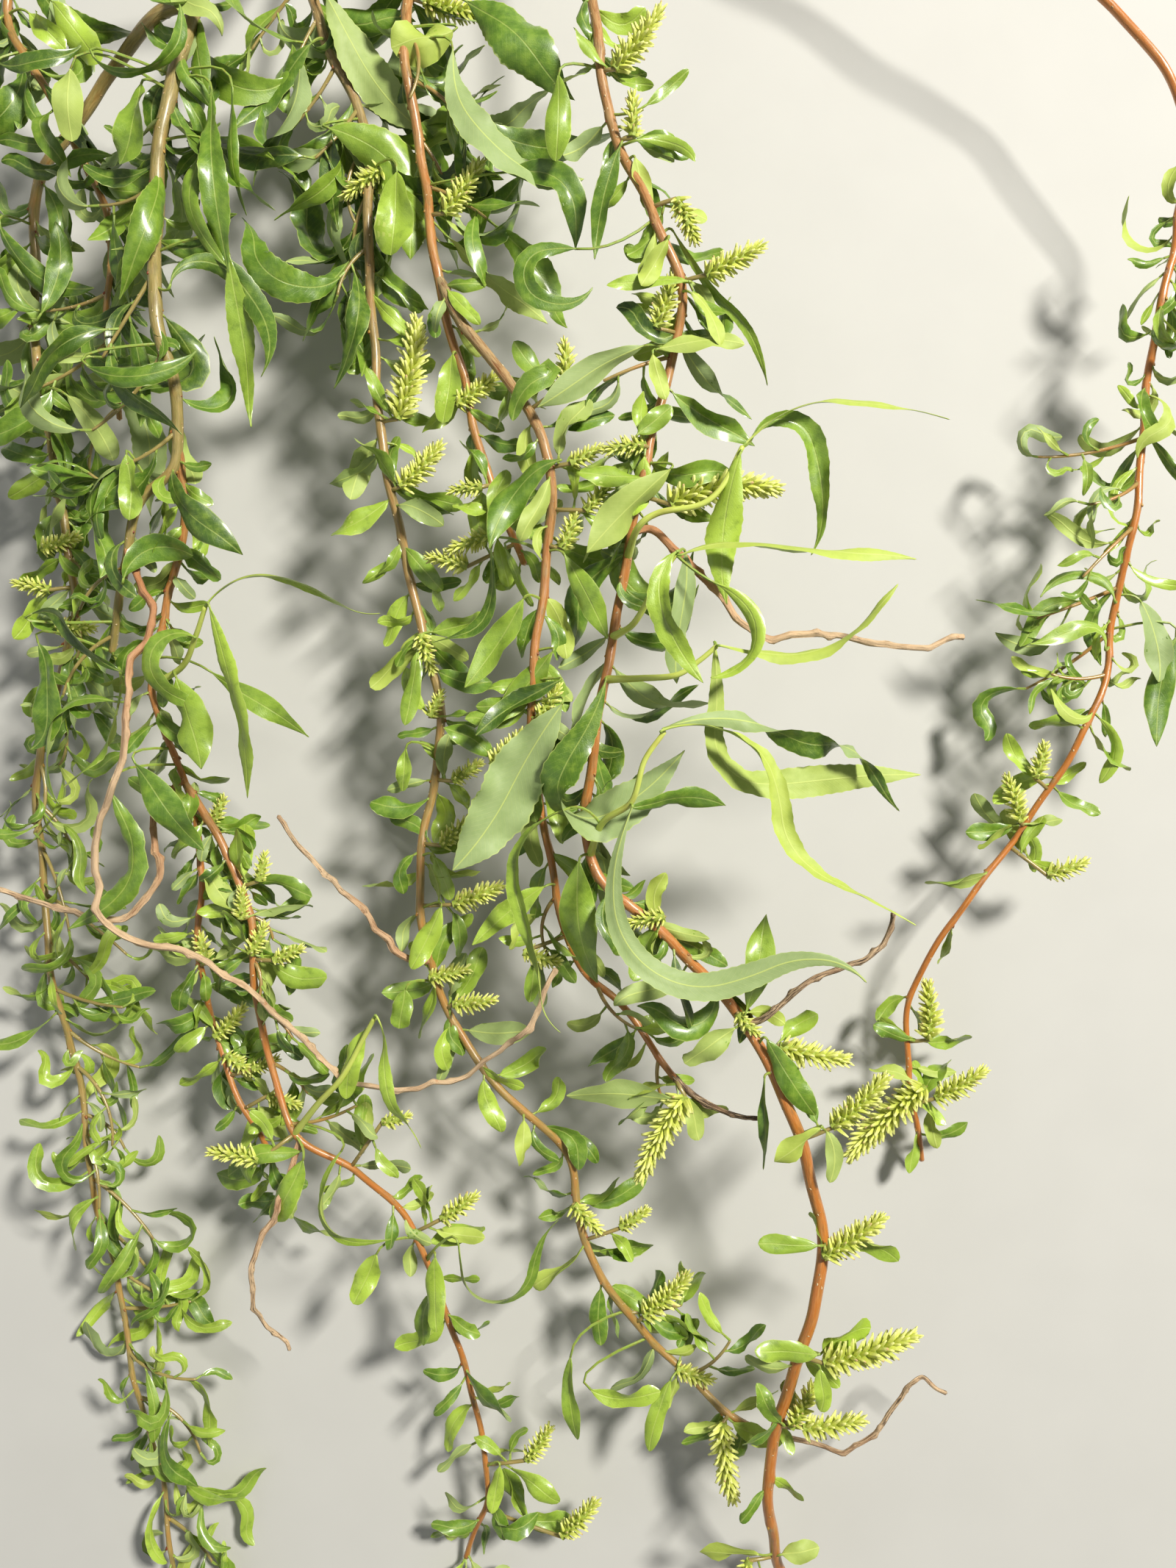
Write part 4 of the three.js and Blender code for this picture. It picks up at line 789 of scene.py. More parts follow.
class Stem:
    """A stem's axis at every millimetre, with its radius, its sides and the knots that swell it."""

    def __init__(self, name, order, points, facts, room):
        self.name = name
        self.order = order
        self.points = points
        self.look = facts.get("look", "bark")
        self.tone = facts.get("tone", 0.5)
        self.old = facts.get("old", (0.5, 130))
        self.distance = np.linspace(0, len(points) - 1, len(points))
        self.radii = listed(facts["radius"], self.distance / self.distance[-1])
        if "carrier" in facts:
            self.radii = self.radii * (1 + COLLAR_SWELL * np.exp(-self.distance / COLLAR_LENGTH))
            self.radii = np.minimum(self.radii, room * COLLAR_ROOM + self.distance * COLLAR_SPREAD)
        self.knots = []
        if self.look == "dry":
            self.gnarl()
        points[:, 2] = np.maximum(points[:, 2], LOW[2] + FLOOR_GAP + self.radii)
        self.ways, self.sides, self.overs = sides_of(points)
        self.stretches = []
        along = place_of(points)[:, 1]
        start = 0
        for node, until, dress in facts["nodes"]:
            end = len(points) - 1
            if until is not None:
                end = start + int(np.argmax(along[start:] <= until))
            self.stretches.append((node, start, end, dress))
            start = end

    def gnarl(self):
        """Kinks a dead twig, with a knot at each kink."""
        places, shifts = kinks(self.order, self.distance)
        self.points += shifts
        roll = dice(self.order * 211 + 3)
        for place in places:
            way = unit(heading_vector(360 * roll(), between(*KNOT_CLIMBS, roll())))
            self.knots.append((place, way, between(*DRY_KNOTS, roll()) * self.radii[-1]))

    def nearest(self, u, v, first=0, last=None):
        """The number of the point that looks nearest to a place."""
        offsets = np.linalg.norm(place_of(self.points[first:last]) - (u, v), axis=1)
        return first + int(np.argmin(offsets))

    def age(self, distance):
        """How old the bark is at distances along the stem, or how much brown bark a dead twig keeps."""
        if self.look == "young":
            return np.zeros(len(distance))
        if self.look == "dry":
            return np.clip(1 - distance / BROWN_LENGTH, 0, 1)
        age, fade = self.old
        return age * np.exp(-distance / fade)


@functools.cache
def stems():
    """Every stem by name, in the order in which they carry one another."""
    made = {}
    for order, (name, facts) in enumerate(STEMS.items()):
        places, room = [], 0
        for place in facts["route"]:
            if len(place) == 3:
                places.append(seen(*place))
            else:
                carrier = made[facts["carrier"]]
                fork = carrier.nearest(*place)
                places.append(carrier.points[fork])
                room = carrier.radii[fork]
        made[name] = Stem(name, order, stations(places, order), facts, room)
    return made


def stretches(look, is_leafy):
    """The nodes of the stems with one look, leafy or bare, with the first and last points of each."""
    found = []
    for stem in stems().values():
        for node, first, last, dress in stem.stretches:
            if stem.look == look and is_leafy == bool(dress or node in LEAVES):
                found.append((node, stem, first, last))
    return found


@functools.cache
def crowd():
    """A tree of the stems' points, for finding what a leaf would pass through."""
    points = np.concatenate([stem.points[::3] for stem in stems().values()])
    tree = KDTree(len(points))
    for number, point in enumerate(points):
        tree.insert(point, number)
    tree.balance()
    return tree


# Meshes
class Skin:
    """Points, faces and patterns gathered for one mesh, in millimetres of the view."""

    def __init__(self):
        self.points, self.patterns, self.tones, self.ages = [], [], [], []
        self.quads, self.quad_kinds = [], []
        self.triangles, self.triangle_kinds = [], []
        self.count = 0

    def put(self, points, patterns, tone, age):
        """Adds points and gives the number of the first."""
        first = self.count
        size = len(points)
        self.points.append(points)
        self.patterns.append(patterns)
        self.tones.append(np.broadcast_to(tone, size))
        self.ages.append(np.broadcast_to(age, size))
        self.count += size
        return first

    def rings(self, rings, patterns, tone, age=0.0, kinds=0, start=None, end=None):
        """Joins rings of equal size one to the next, and closes an end on a point where one is given. The
        age may be by row and side, and the kinds of face by side."""
        rows, sides, _ = rings.shape
        ages = np.broadcast_to(age, (rows, sides)).ravel()
        first = self.put(rings.reshape(-1, 3), patterns.reshape(-1, 3), tone, ages)
        row = np.arange(rows - 1)[:, None] * sides
        here = np.arange(sides)[None, :]
        there = (here + 1) % sides
        quads = np.stack([row + here, row + there, row + there + sides, row + here + sides], axis=-1)
        kinds = np.broadcast_to(kinds, sides)
        self.quads.append(first + quads.reshape(-1, 4))
        self.quad_kinds.append(np.broadcast_to(kinds, (rows - 1, sides)).ravel())
        here, there = here[0], there[0]
        for pole, base, row, is_start in ((start, 0, 0, True), (end, (rows - 1) * sides, -1, False)):
            if pole is None:
                continue
            middle = patterns[row].mean(axis=0)[None]
            apex = self.put(np.asarray(pole, float)[None], middle, tone, ages[base])
            rim = [first + base + here, first + base + there]
            if is_start:
                rim.reverse()
            self.triangles.append(np.stack([np.full(sides, apex), *rim], axis=-1))
            self.triangle_kinds.append(kinds)

    def mesh(self, name, materials):
        """The gathered faces as a mesh in the frame, in metres."""
        mesh = bpy.data.meshes.new(name)
        points = (np.concatenate(self.points) + SHIFT) * MM
        quads, triangles = np.concatenate(self.quads), np.concatenate(self.triangles)
        kinds = np.concatenate(self.quad_kinds + self.triangle_kinds)
        corners = np.concatenate([quads.ravel(), triangles.ravel()])
        starts = np.concatenate([np.arange(len(quads)) * 4, quads.size + np.arange(len(triangles)) * 3])
        mesh.vertices.add(len(points))
        mesh.vertices.foreach_set("co", points.ravel())
        mesh.loops.add(len(corners))
        mesh.polygons.add(len(starts))
        mesh.polygons.foreach_set("loop_start", starts.astype(np.int32))
        mesh.polygons.foreach_set("vertices", corners.astype(np.int32))
        mesh.polygons.foreach_set("material_index", kinds.astype(np.int32))
        write(mesh, "tone", np.concatenate(self.tones))
        write(mesh, "age", np.concatenate(self.ages))
        write(mesh, "pattern", np.concatenate(self.patterns))
        for material in materials:
            mesh.materials.append(material)
        mesh.update(calc_edges=True)
        mesh.validate()
        return smoothed(mesh, SHARP_ANGLE)


def write(mesh, label, values):
    """Stores numbers or vectors at a mesh's points."""
    kind, part = ("FLOAT", "value") if values.ndim == 1 else ("FLOAT_VECTOR", "vector")
    attribute = mesh.attributes.new(label, kind, "POINT")
    attribute.data.foreach_set(part, values.astype(np.float32).ravel())


def smoothed(mesh, angle):
    """The mesh, shaded smooth up to an angle between faces."""
    mesh.polygons.foreach_set("use_smooth", np.ones(len(mesh.polygons), bool))
    mesh.set_sharp_from_angle(angle=math.radians(angle))
    return mesh


def show(name, mesh, slot, *nodes):
    """Puts a finished mesh into the scene as a piece of the branch, and replaces the nodes it stands for."""
    piece = bpy.data.objects.new(name, mesh)
    bpy.context.scene.collection.objects.link(piece)
    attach(piece, "root")
    if nodes:
        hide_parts(*nodes)


def ridges(angles, distance, seed):
    """Uneven ridges that run along a stem, from -1 to 1."""
    roll = dice(seed + 71)
    total = np.zeros((len(distance), len(angles)))
    for waves, length in ((2, 31), (3, 17), (5, 43), (7, 11)):
        drift = between(-1, 1, roll()) * distance[:, None] / length
        total += np.sin(waves * angles[None, :] + drift * 2 * np.pi + ANY_PHASE * roll()) / 4
    return total


def round_about(across, over, sides):
    """The angles of a ring's points, and the directions to them at every row."""
    angles = 2 * np.pi * np.arange(sides) / sides
    around = np.cos(angles)[None, :, None] * across[:, None] + np.sin(angles)[None, :, None] * over[:, None]
    return angles, around


def tube_patterns(radii, angles, distance):
    """Where a tube's points lie: across, over and along it. The radii are by row and side."""
    flat = radii * np.cos(angles), radii * np.sin(angles)
    return np.stack([*flat, np.broadcast_to(distance[:, None], flat[0].shape)], axis=-1)


def tube(skin, points, radii, sides, tone, kind=0):
    """A closed round bar of changing radius along points."""
    ways, across, over = sides_of(points)
    angles, around = round_about(across, over, sides)
    rings = points[:, None] + radii[:, None, None] * around
    walked = np.concatenate([[0], np.cumsum(np.linalg.norm(np.diff(points, axis=0), axis=1))])
    patterns = tube_patterns(radii[:, None], angles, walked)
    start = points[0] - ways[0] * radii[0] * 0.5
    end = points[-1] + ways[-1] * radii[-1] * 0.5
    skin.rings(rings, patterns, tone, 0.0, kind, start, end)


def stem_skin(skin, stem, first, last, sides, relief):
    """The bark of a stretch of a stem, ridged, and swollen at its knots and under its buds."""
    rows = slice(first, last + 1)
    distance = stem.distance[rows]
    angles, around = round_about(stem.sides[rows], stem.overs[rows], sides)
    radii = stem.radii[rows, None] * (1 + relief * ridges(angles, distance, stem.order))
    age = np.broadcast_to(stem.age(distance)[:, None], radii.shape)
    length = DRY_KNOT_LENGTH if stem.look == "dry" else BUD_SWELL_LENGTH
    for place, way, size in stem.knots:
        facing = np.maximum(0, np.einsum("rsk,k->rs", around, way)) ** 2
        radii = radii + size * bump(distance, place, length) * facing
        scar = bump(distance, place + SCAR_OFFSET, SCAR_LENGTH) * (SCAR_ROUND + SCAR_FACING * facing)
        age = np.maximum(age, scar)
    rings = stem.points[rows, None] + radii[:, :, None] * around
    patterns = tube_patterns(radii, angles, distance + stem.order * PATTERN_STEP)
    is_cut = first == 0 and stem.name == "left"
    start = None if is_cut else stem.points[first]
    reach = TIP_REACH if last == len(stem.points) - 1 else 0
    tip = stem.points[last] + stem.ways[last] * stem.radii[last] * reach
    skin.rings(rings, patterns, stem.tone, age, 0, start, tip)
    if is_cut:
        cut_face(skin, rings[0], stem)


def cut_face(skin, rim, stem):
    """The flat sawn end of the bough, as rings of faces that narrow to the pith."""
    middle = stem.points[0]
    offsets = (rim - middle) * np.array(CUT_SHARES)[:, None, None]
    flat = [offsets @ stem.sides[0], offsets @ stem.overs[0]]
    patterns = np.stack([*flat, np.zeros_like(flat[0])], axis=-1)
    skin.rings((middle + offsets)[:, ::-1], patterns[:, ::-1], 0.5, 0.0, 1, None, middle)


def close_rim(mesh):
    """Welds the cut face to the bark around it, and keeps the rim sharp."""
    work = bmesh.new()
    work.from_mesh(mesh)
    rim = [vertex for vertex in work.verts if vertex.is_boundary]
    bmesh.ops.remove_doubles(work, verts=rim, dist=WELD * MM)
    work.to_mesh(mesh)
    work.free()
    mesh.set_sharp_from_angle(angle=math.radians(SHARP_ANGLE))


# Leaves
def stalk(skin, root, base, way, tone):
    """A leaf's curved stalk from the axis of what carries it to the foot of its blade."""
    shares = np.linspace(0, 1, PETIOLE_STEPS + 1)[:, None]
    bend = base - way * np.linalg.norm(base - root) * 0.45
    points = root * (1 - shares) ** 2 + bend * 2 * shares * (1 - shares) + base * shares**2
    radii = np.linspace(PETIOLE_RADIUS * 1.25, PETIOLE_RADIUS, PETIOLE_STEPS + 1)
    tube(skin, points, radii, PETIOLE_SIDES, tone, 2)


def blade_path(base, length, headings, climbs, shares, sway=0.0):
    """The headings, directions and points of a blade's midrib at shares of its length. The sway is how many
    degrees it rises and falls besides."""
    heading = listed(headings, shares)
    ways = heading_vector(heading, listed(climbs, shares) + sway * np.sin(2 * np.pi * shares))
    steps = unit(ways[1:] + ways[:-1]) * length * np.diff(shares)[:, None]
    return heading, ways, np.vstack([base, base + np.cumsum(steps, axis=0)])


def blade_rows(length):
    """The shares of a blade's length at which it has a row of points, closer at its ends."""
    is_long = length >= TOOTH_LEAST_LENGTH
    rows = int(np.clip(length / (LONG_ROW if is_long else SHORT_ROW), *ROWS))
    even = np.linspace(0, 1, rows + 1)
    eased = LONG_EASE if is_long else SHORT_EASE
    return (1 - eased) * even + eased * (0.5 - 0.5 * np.cos(np.pi * even))


def half_widths(length, width, shares, widest, roll):
    """Half a blade's width along it, from where it is widest to a long point or, when short, a round end."""
    is_short = length <= BLUNT_MOST_LENGTH
    blunt = between(*(SHORT_TIPS if is_short else LONG_TIPS), roll())
    widest = widest or between(*WIDEST, roll())
    toward = np.clip((shares - widest) / (1 - widest), 0, 1)
    foot = np.sin(np.pi / 2 * np.clip(shares / widest, 0, 1)) ** (0.9 - 0.25 * blunt)
    tip = (1 - toward ** (1.5 + 1.9 * blunt)) ** (1.15 - 0.65 * blunt)
    half = width / 2 * foot * tip
    if length >= TOOTH_LEAST_LENGTH:
        half = half * (1 + TOOTH * np.where(np.arange(len(shares)) % 2, 1, -1))
    return np.maximum(half, PETIOLE_RADIUS * 0.8)[:, None]


def blade_axes(heading, ways, rolls, shares, roll):
    """The directions across and over a blade as it twists along its midrib."""
    bearing = np.radians(heading)
    flat = np.stack([-np.sin(bearing), np.cos(bearing), np.zeros(len(shares))], axis=-1)
    up = np.cross(ways, flat)
    twist = EXTRA_ROLL * np.sin(2 * np.pi * (shares * TWIST_WAVES + roll()))
    turn = np.radians(listed(rolls, shares) + twist)[:, None]
    return flat * np.cos(turn) + up * np.sin(turn), up * np.cos(turn) - flat * np.sin(turn)


def blade_section(length, width, shares, half, x, roll):
    """How far a blade's points lie aside of its midrib, and how high its two faces are there, by row and
    column: folded along the midrib, curved back at the margins and rippled along them."""
    leaves = bpy.context.scene.willow_leaves
    down = shares[:, None]
    full = np.sin(np.pi * np.clip(down * 1.15, 0, 1))
    fold = leaves.fold * between(*FOLDS, roll()) * full
    recurve = between(*RECURVES, roll()) * full
    waves = length / between(*RIPPLE_LENGTHS, roll())
    wave = between(*RIPPLE_HEIGHTS, roll()) * half * x**2
    phase = ANY_PHASE * roll()
    ripple = wave * np.sin(2 * np.pi * waves * down + phase + np.where(x > 0, RIPPLE_LAG, 0))
    lift = np.abs(x) * half * np.sin(fold) - recurve * half * x**2 + ripple
    thick = leaves.thickness / MM * np.clip(1.8 - down * 6, 1, 2)
    body = np.sqrt(np.maximum(0, 1 - x**2)) * thick / 2
    is_midrib = np.abs(x) < 0.01
    rib = np.where(is_midrib, RIB_HEIGHT * (1 - down) * min(1, width / FULL_RIB_WIDTH), 0)
    groove = np.where(is_midrib, GROOVE_DEPTH, 0)
    return x * half * np.cos(fold), lift + body - groove, lift - body - rib


def leaf(skin, root, base, size, headings, rolls, climbs, tone, seed, widest=None):
    """A closed thin blade on its stalk. The upper side is kind 0, the underside 1 and the stalk 2."""
    length, width = size
    roll = dice(seed)
    shares = blade_rows(length)
    heading, ways, path = blade_path(base, length, headings, climbs, shares, between(-SWAY, SWAY, roll()))
    across, over = blade_axes(heading, ways, rolls, shares, roll)
    half = half_widths(length, width, shares, widest, roll)
    columns = next(columns for least, columns in COLUMNS_ABOVE if width > least)
    even = np.linspace(1, -1, columns) * np.pi / 2 * COLUMN_EASE
    x = (np.sin(even) / math.sin(np.pi / 2 * COLUMN_EASE))[None, :]
    aside, above, below = blade_section(length, width, shares, half, x, roll)
    middle = path[:, None] + across[:, None] * aside[..., None]
    top = middle + over[:, None] * above[..., None]
    bottom = middle + over[:, None] * below[..., None]
    rings = np.concatenate([top, bottom[:, -2:0:-1]], axis=1)[:-1]
    spread = np.concatenate([x, x[:, -2:0:-1]], axis=1)
    walked = (shares * length)[:-1, None]
    patterns = np.stack(np.broadcast_arrays(spread, walked, half[:-1]), axis=-1)
    kinds = np.where(np.arange(spread.size) < columns - 1, 0, 1)
    skin.rings(rings, patterns, tone, roll(), kinds, path[0], path[-1])
    stalk(skin, root, base, ways[0], tone)


# Growth
class Shown:
    """The places of the leaves and catkins that show one by one, which nothing else may lie over."""

    def __init__(self):
        self.places = []
        self.tree = None

    def add(self, path, reach):
        self.places += [(u, v, z, reach) for (u, v), z in zip(place_of(path), path[:, 2])]

    def settle(self):
        """Readies the places for searching."""
        self.tree = KDTree(len(self.places))
        for number, (u, v, _, _) in enumerate(self.places):
            self.tree.insert((u, v, 0), number)
        self.tree.balance()

    def covered_by(self, path):
        """Whether a path lies over one of the places, its foot aside."""
        for (u, v), z in zip(place_of(path)[2:], path[2:, 2]):
            _, number, gap = self.tree.find((u, v, 0))
            _, _, height, reach = self.places[number]
            if gap < reach and z > height - COVER_DEPTH:
                return True
        return False


def fits(path):
    """Whether a leaf's midrib stays inside the branch's reach, off the floor and clear of other stems."""
    is_low = path[:, 2].min() < LOW[2] + FLOOR_CLEARANCE
    if is_low or (path < LOW + BOX_CLEARANCE).any() or (path > HIGH - BOX_CLEARANCE).any():
        return False
    for point in path[:: max(1, len(path) // 8)]:
        if np.linalg.norm(point - path[0]) > ROOT_REACH and crowd().find(point)[2] < BLADE_CLEARANCE:
            return False
    return True


class Growth:
    """What the buds of the stems grow: leaves, side twigs and catkins."""

    def __init__(self):
        self.leaves = {}
        self.twigs = []
        self.catkins = []
        self.buds = []
        self.shown = Shown()

    def leaf(self, node, *facts):
        self.leaves.setdefault(node, []).append(facts)

    def bud_leaf(self, node, dress, roll, foot, heading, side, seed):
        """One bud's leaf, which leaves its carrier at the foot on one side of the carrier's heading."""
        for _ in range(TRIES):
            out = heading + side * between(*LEAF_ANGLES, roll())
            out += dress["droop"] * ((HANG - out + 180) % 360 - 180)
            climb = dress["tilt"] * between(-1, 1, roll())
            turn = dress["curl"] * between(-1, 1, roll())
            length = between(*dress["length"], roll() ** SHORTER)
            width = max(LEAST_WIDTH, length * dress["slim"] * between(*LEAF_WIDTHS, roll()))
            lean = between(*LEANS, roll()) + (180 if roll() < TURNED_SHARE else 0)
            twist = SHORT_TWIST if length < LONG_LEAF else LONG_TWIST
            rolls = [lean, lean + between(-twist, twist, roll())]
            tone = between(*dress["fresh"], roll())
            base = foot + heading_vector(out, climb) * LEAF_FOOT * between(*LEAF_FEET, roll())
            early, late = between(*EARLY_TURNS, roll()), between(*LATE_TURNS, roll())
            headings = [out, out + early * turn, out + turn, out + late * turn]
            climbs = [climb, 0.3 * climb, -climb]
            path = blade_path(base, length, headings, climbs, TRIAL)[2]
            if fits(path) and not self.shown.covered_by(path):
                self.leaf(node, foot, base, (length, width), headings, rolls, climbs, tone, seed)
                return

    def bud_catkin(self, root, heading, side, roll):
        """A bud's catkin, where it fits."""
        out = heading + side * between(*CATKIN_ANGLES, roll())
        climb = between(*CATKIN_CLIMBS, roll())
        base = root + heading_vector(out, climb) * STALK_LENGTH
        length = between(*CATKIN_LENGTHS, roll())
        path = blade_path(base, length, [out, out + CATKIN_BEND], [climb, climb / 2], CATKIN_SHARES)[2]
        if fits(path):
            self.catkins.append((root, path))

    def side_twig(self, root, tone, dress, heading, side, count, roll):
        """A bud's side twig, where it fits, and the feet and headings of its leaves."""
        out = heading + side * between(*TWIG_ANGLES, roll())
        length = between(*dress["twig_length"], roll())
        climb = between(*TWIG_CLIMBS, roll())
        bend = side * between(*TWIG_BENDS, roll())
        path = blade_path(root, length, [out, out + bend], [climb, 0], TWIG_SHARES)[2]
        if not fits(path):
            return []
        self.twigs.append((path, tone))
        spots = [TWIG_STEPS - round(n * TWIG_STEPS / (count + 3)) for n in range(count + 2)]
        return [(path[spot], out + bend * spot / TWIG_STEPS) for spot in spots]

    def bud(self, stem, node, dress, roll, place, last, side, seed):
        """One bud: a catkin or none, then leaves on a side twig or on the stem itself."""
        root = stem.points[place]
        forward = stem.ways[place]
        heading = math.degrees(math.atan2(forward[1], forward[0]))
        way = unit(heading_vector(heading + side * BUD_ANGLE, between(*BUD_CLIMBS, roll())))
        size = between(*BUD_SIZES, roll()) * min(1.4, stem.radii[place] / 1.2)
        stem.knots.append((stem.distance[place], way, size))
        self.buds.append((root + way * stem.radii[place] * 0.95, unit(way + 0.8 * forward)))
        u, v = place_of(root)
        is_outside = abs(u) > PICTURE_HALF_WIDTH or abs(v) > PICTURE_HALF_HEIGHT
        if roll() < dress["catkins"] and is_outside:
            self.bud_catkin(root, heading, side, roll)
        count = round(between(*dress["leaves"], roll()))
        feet = []
        if roll() < dress["twigs"]:
            feet = self.side_twig(root, stem.tone, dress, heading, side, count, roll)
        if not feet:
            feet = [(stem.points[min(last, place + LEAF_SPACING * n)], heading) for n in range(count)]
        for number, (foot, way_out) in enumerate(feet):
            hand = -side if number % 2 else side
            self.bud_leaf(node, dress, roll, foot, way_out, hand, seed + number)


def listed_leaves(grown):
    """The leaves that show one by one."""
    order = 0
    for stem in stems().values():
        for node, first, last, _ in stem.stretches:
            for number, row in enumerate(LEAVES.get(node, [])):
                given = ListedLeaf(*row)
                root = stem.points[stem.nearest(given.u, given.v, first, last + 1)]
                base = seen(given.u, given.v, root[2] + given.lift)
                is_fresh = stem.look == "young" or given.length < BLUNT_MOST_LENGTH
                tone = given.fresh
                if tone is None:
                    share = dice(order * 977 + number * 37 + 11)()
                    tone = between(*(LISTED_FRESH if is_fresh else LISTED_DEEP), share)
                blade = ((given.length, given.width), given.headings, given.rolls, given.climbs, tone)
                grown.leaf(node, root, base, *blade, order * 100 + number, given.widest)
                path = blade_path(base, given.length, given.headings, given.climbs, TRIAL)[2]
                grown.shown.add(path, given.width * 0.6)
            order += 1


def listed_catkins(grown):
    """The catkins that show one by one, and afterwards the leaves at their feet."""
    spurs = []
    for name, rows in CATKINS.items():
        stem = stems()[name]
        for u, v, heading, turn, length in rows:
            number = stem.nearest(u, v)
            root = stem.points[number]
            base = seen(u, v, root[2] + CATKIN_LIFT)
            path = blade_path(base, length, [heading, heading + turn], [0], CATKIN_SHARES)[2]
            grown.catkins.append((root, path))
            grown.shown.add(path, CATKIN_REACH)
            node = next(node for node, _, last, _ in stem.stretches if number <= last)
            has_listed = name == "right" and v < LISTED_BELOW
            spurs.append((node, root, base, heading, has_listed))
    grown.shown.settle()
    for order, facts in enumerate(spurs):
        spur_leaves(grown, order, *facts)


def spur_leaves(grown, order, node, root, base, heading, has_listed):
    """The leaves at the foot of a catkin that shows: one where others are listed, or else two or three."""
    roll = dice(order * 61 + 29)
    for side in (1,) if has_listed else (1, -1, 1)[: round(between(2, 3, roll()))]:
        foot = root + (base - root) * between(*SPUR_FEET, roll())
        grown.bud_leaf(node, SPUR_LEAF, roll, foot, heading + SPUR_TURN * side, side, order * 40 + side)


@functools.cache
def growth():
    """Everything that grows on the stems, first what shows one by one and then what the rule adds."""
    grown = Growth()
    listed_leaves(grown)
    listed_catkins(grown)
    order = 0
    for stem in stems().values():
        for node, first, last, kind in stem.stretches:
            place = first + FIRST_BUD
            number = 0
            while kind and place < last - 2:
                roll = dice(order * 131 + number * 17 + 5)
                seed = order * 1000 + number * 10 + 3
                side = -1 if number % 2 else 1
                grown.bud(stem, node, DRESS[kind], roll, round(place), last, side, seed)
                place += DRESS[kind]["pitch"] * between(*PITCH_SPREAD, roll())
                number += 1
            order += 1
    return grown


# Node trees, for what repeats and for finishes
class Wire:
    """A socket of a node tree that takes part in arithmetic."""

    def __init__(self, nodes, socket):
        self.nodes = nodes
        self.socket = socket

    def output(self, number):
        """Another output of the same node."""
        return Wire(self.nodes, self.socket.node.outputs[number])

    def __add__(self, other):
        return self.nodes.math("ADD", self, other)

    __radd__ = __add__

    def __sub__(self, other):
        return self.nodes.math("SUBTRACT", self, other)

    def __rsub__(self, other):
        return self.nodes.math("SUBTRACT", other, self)

    def __mul__(self, other):
        return self.nodes.math("MULTIPLY", self, other)

    __rmul__ = __mul__

    def __truediv__(self, other):
        return self.nodes.math("DIVIDE", self, other)

    def __pow__(self, other):
        return self.nodes.math("POWER", self, other)

    def __abs__(self):
        return self.nodes.math("ABSOLUTE", self)


class Nodes:
    """A node tree under construction, whose nodes are added by type, settings and inputs."""

    def __init__(self, tree):
        self.tree = tree

    def add(self, kind, settings=None, inputs=(), output=0):
        """The wire of a new node. Its inputs are a list in order, or a dictionary by name or number."""
        node = self.tree.nodes.new(kind)
        for label, value in (settings or {}).items():
            setattr(node, label, value)
        pairs = inputs.items() if isinstance(inputs, dict) else enumerate(inputs)
        for label, value in pairs:
            if isinstance(value, Wire):
                self.tree.links.new(value.socket, node.inputs[label])
            else:
                node.inputs[label].default_value = value
        return Wire(self, node.outputs[output])

    def math(self, operation, first, second=0.0):
        return self.add("ShaderNodeMath", {"operation": operation}, [first, second])

    def vector(self, operation, first, second):
        return self.add("ShaderNodeVectorMath", {"operation": operation}, [first, second])

    def parts(self, vector):
        """The three parts of a vector."""
        across = self.add("ShaderNodeSeparateXYZ", inputs=[vector])
        return across, across.output(1), across.output(2)


class Growing(Nodes):
    """A geometry node tree with named inputs for its sizes."""

    def __init__(self, name, **sizes):
        super().__init__(bpy.data.node_groups.new(name, "GeometryNodeTree"))
        sockets = self.tree.interface
        sockets.new_socket("Geometry", in_out="INPUT", socket_type="NodeSocketGeometry")
        sockets.new_socket("Geometry", in_out="OUTPUT", socket_type="NodeSocketGeometry")
        for label, value in sizes.items():
            kind = "NodeSocketInt" if isinstance(value, int) else "NodeSocketFloat"
            sockets.new_socket(label, in_out="INPUT", socket_type=kind).default_value = value
        given = self.tree.nodes.new("NodeGroupInput")
        self.given = {label: Wire(self, given.outputs[label]) for label in ("Geometry", *sizes)}

    def size(self, across, over, along):
        return self.add("ShaderNodeCombineXYZ", inputs=[across, over, along])

    def random(self, low, high, seed):
        inputs = {2: low, 3: high, "Seed": seed}
        return self.add("FunctionNodeRandomValue", {"data_type": "FLOAT"}, inputs, 1)

    def named(self, label, kind="FLOAT"):
        return self.add("GeometryNodeInputNamedAttribute", {"data_type": kind}, [label])

    def store(self, geometry, label, value, domain="POINT"):
        settings = {"data_type": "FLOAT", "domain": domain}
        return self.add("GeometryNodeStoreNamedAttribute", settings, {0: geometry, 2: label, 3: value})

    def upright(self, aim):
        """The rotation that turns the upright of a shape to an aim."""
        return self.add("FunctionNodeAlignRotationToVector", {"axis": "Z"}, {"Vector": aim})

    def instances(self, points, shape, rotation, scale):
        inputs = {"Points": points, "Instance": shape, "Rotation": rotation, "Scale": scale}
        return self.add("GeometryNodeInstanceOnPoints", inputs=inputs)

    def finish(self, material, *parts):
        """Ends the tree in its parts, joined, as plain geometry of one material."""
        joined = self.tree.nodes.new("GeometryNodeJoinGeometry")
        for part in parts:
            self.tree.links.new(part.socket, joined.inputs[0])
        plain = self.add("GeometryNodeRealizeInstances", inputs=[Wire(self, joined.outputs[0])])
        inputs = {"Geometry": plain, "Material": material}
        done = self.add("GeometryNodeSetMaterial", inputs=inputs)
        self.tree.links.new(done.socket, self.tree.nodes.new("NodeGroupOutput").inputs[0])
        return self.tree


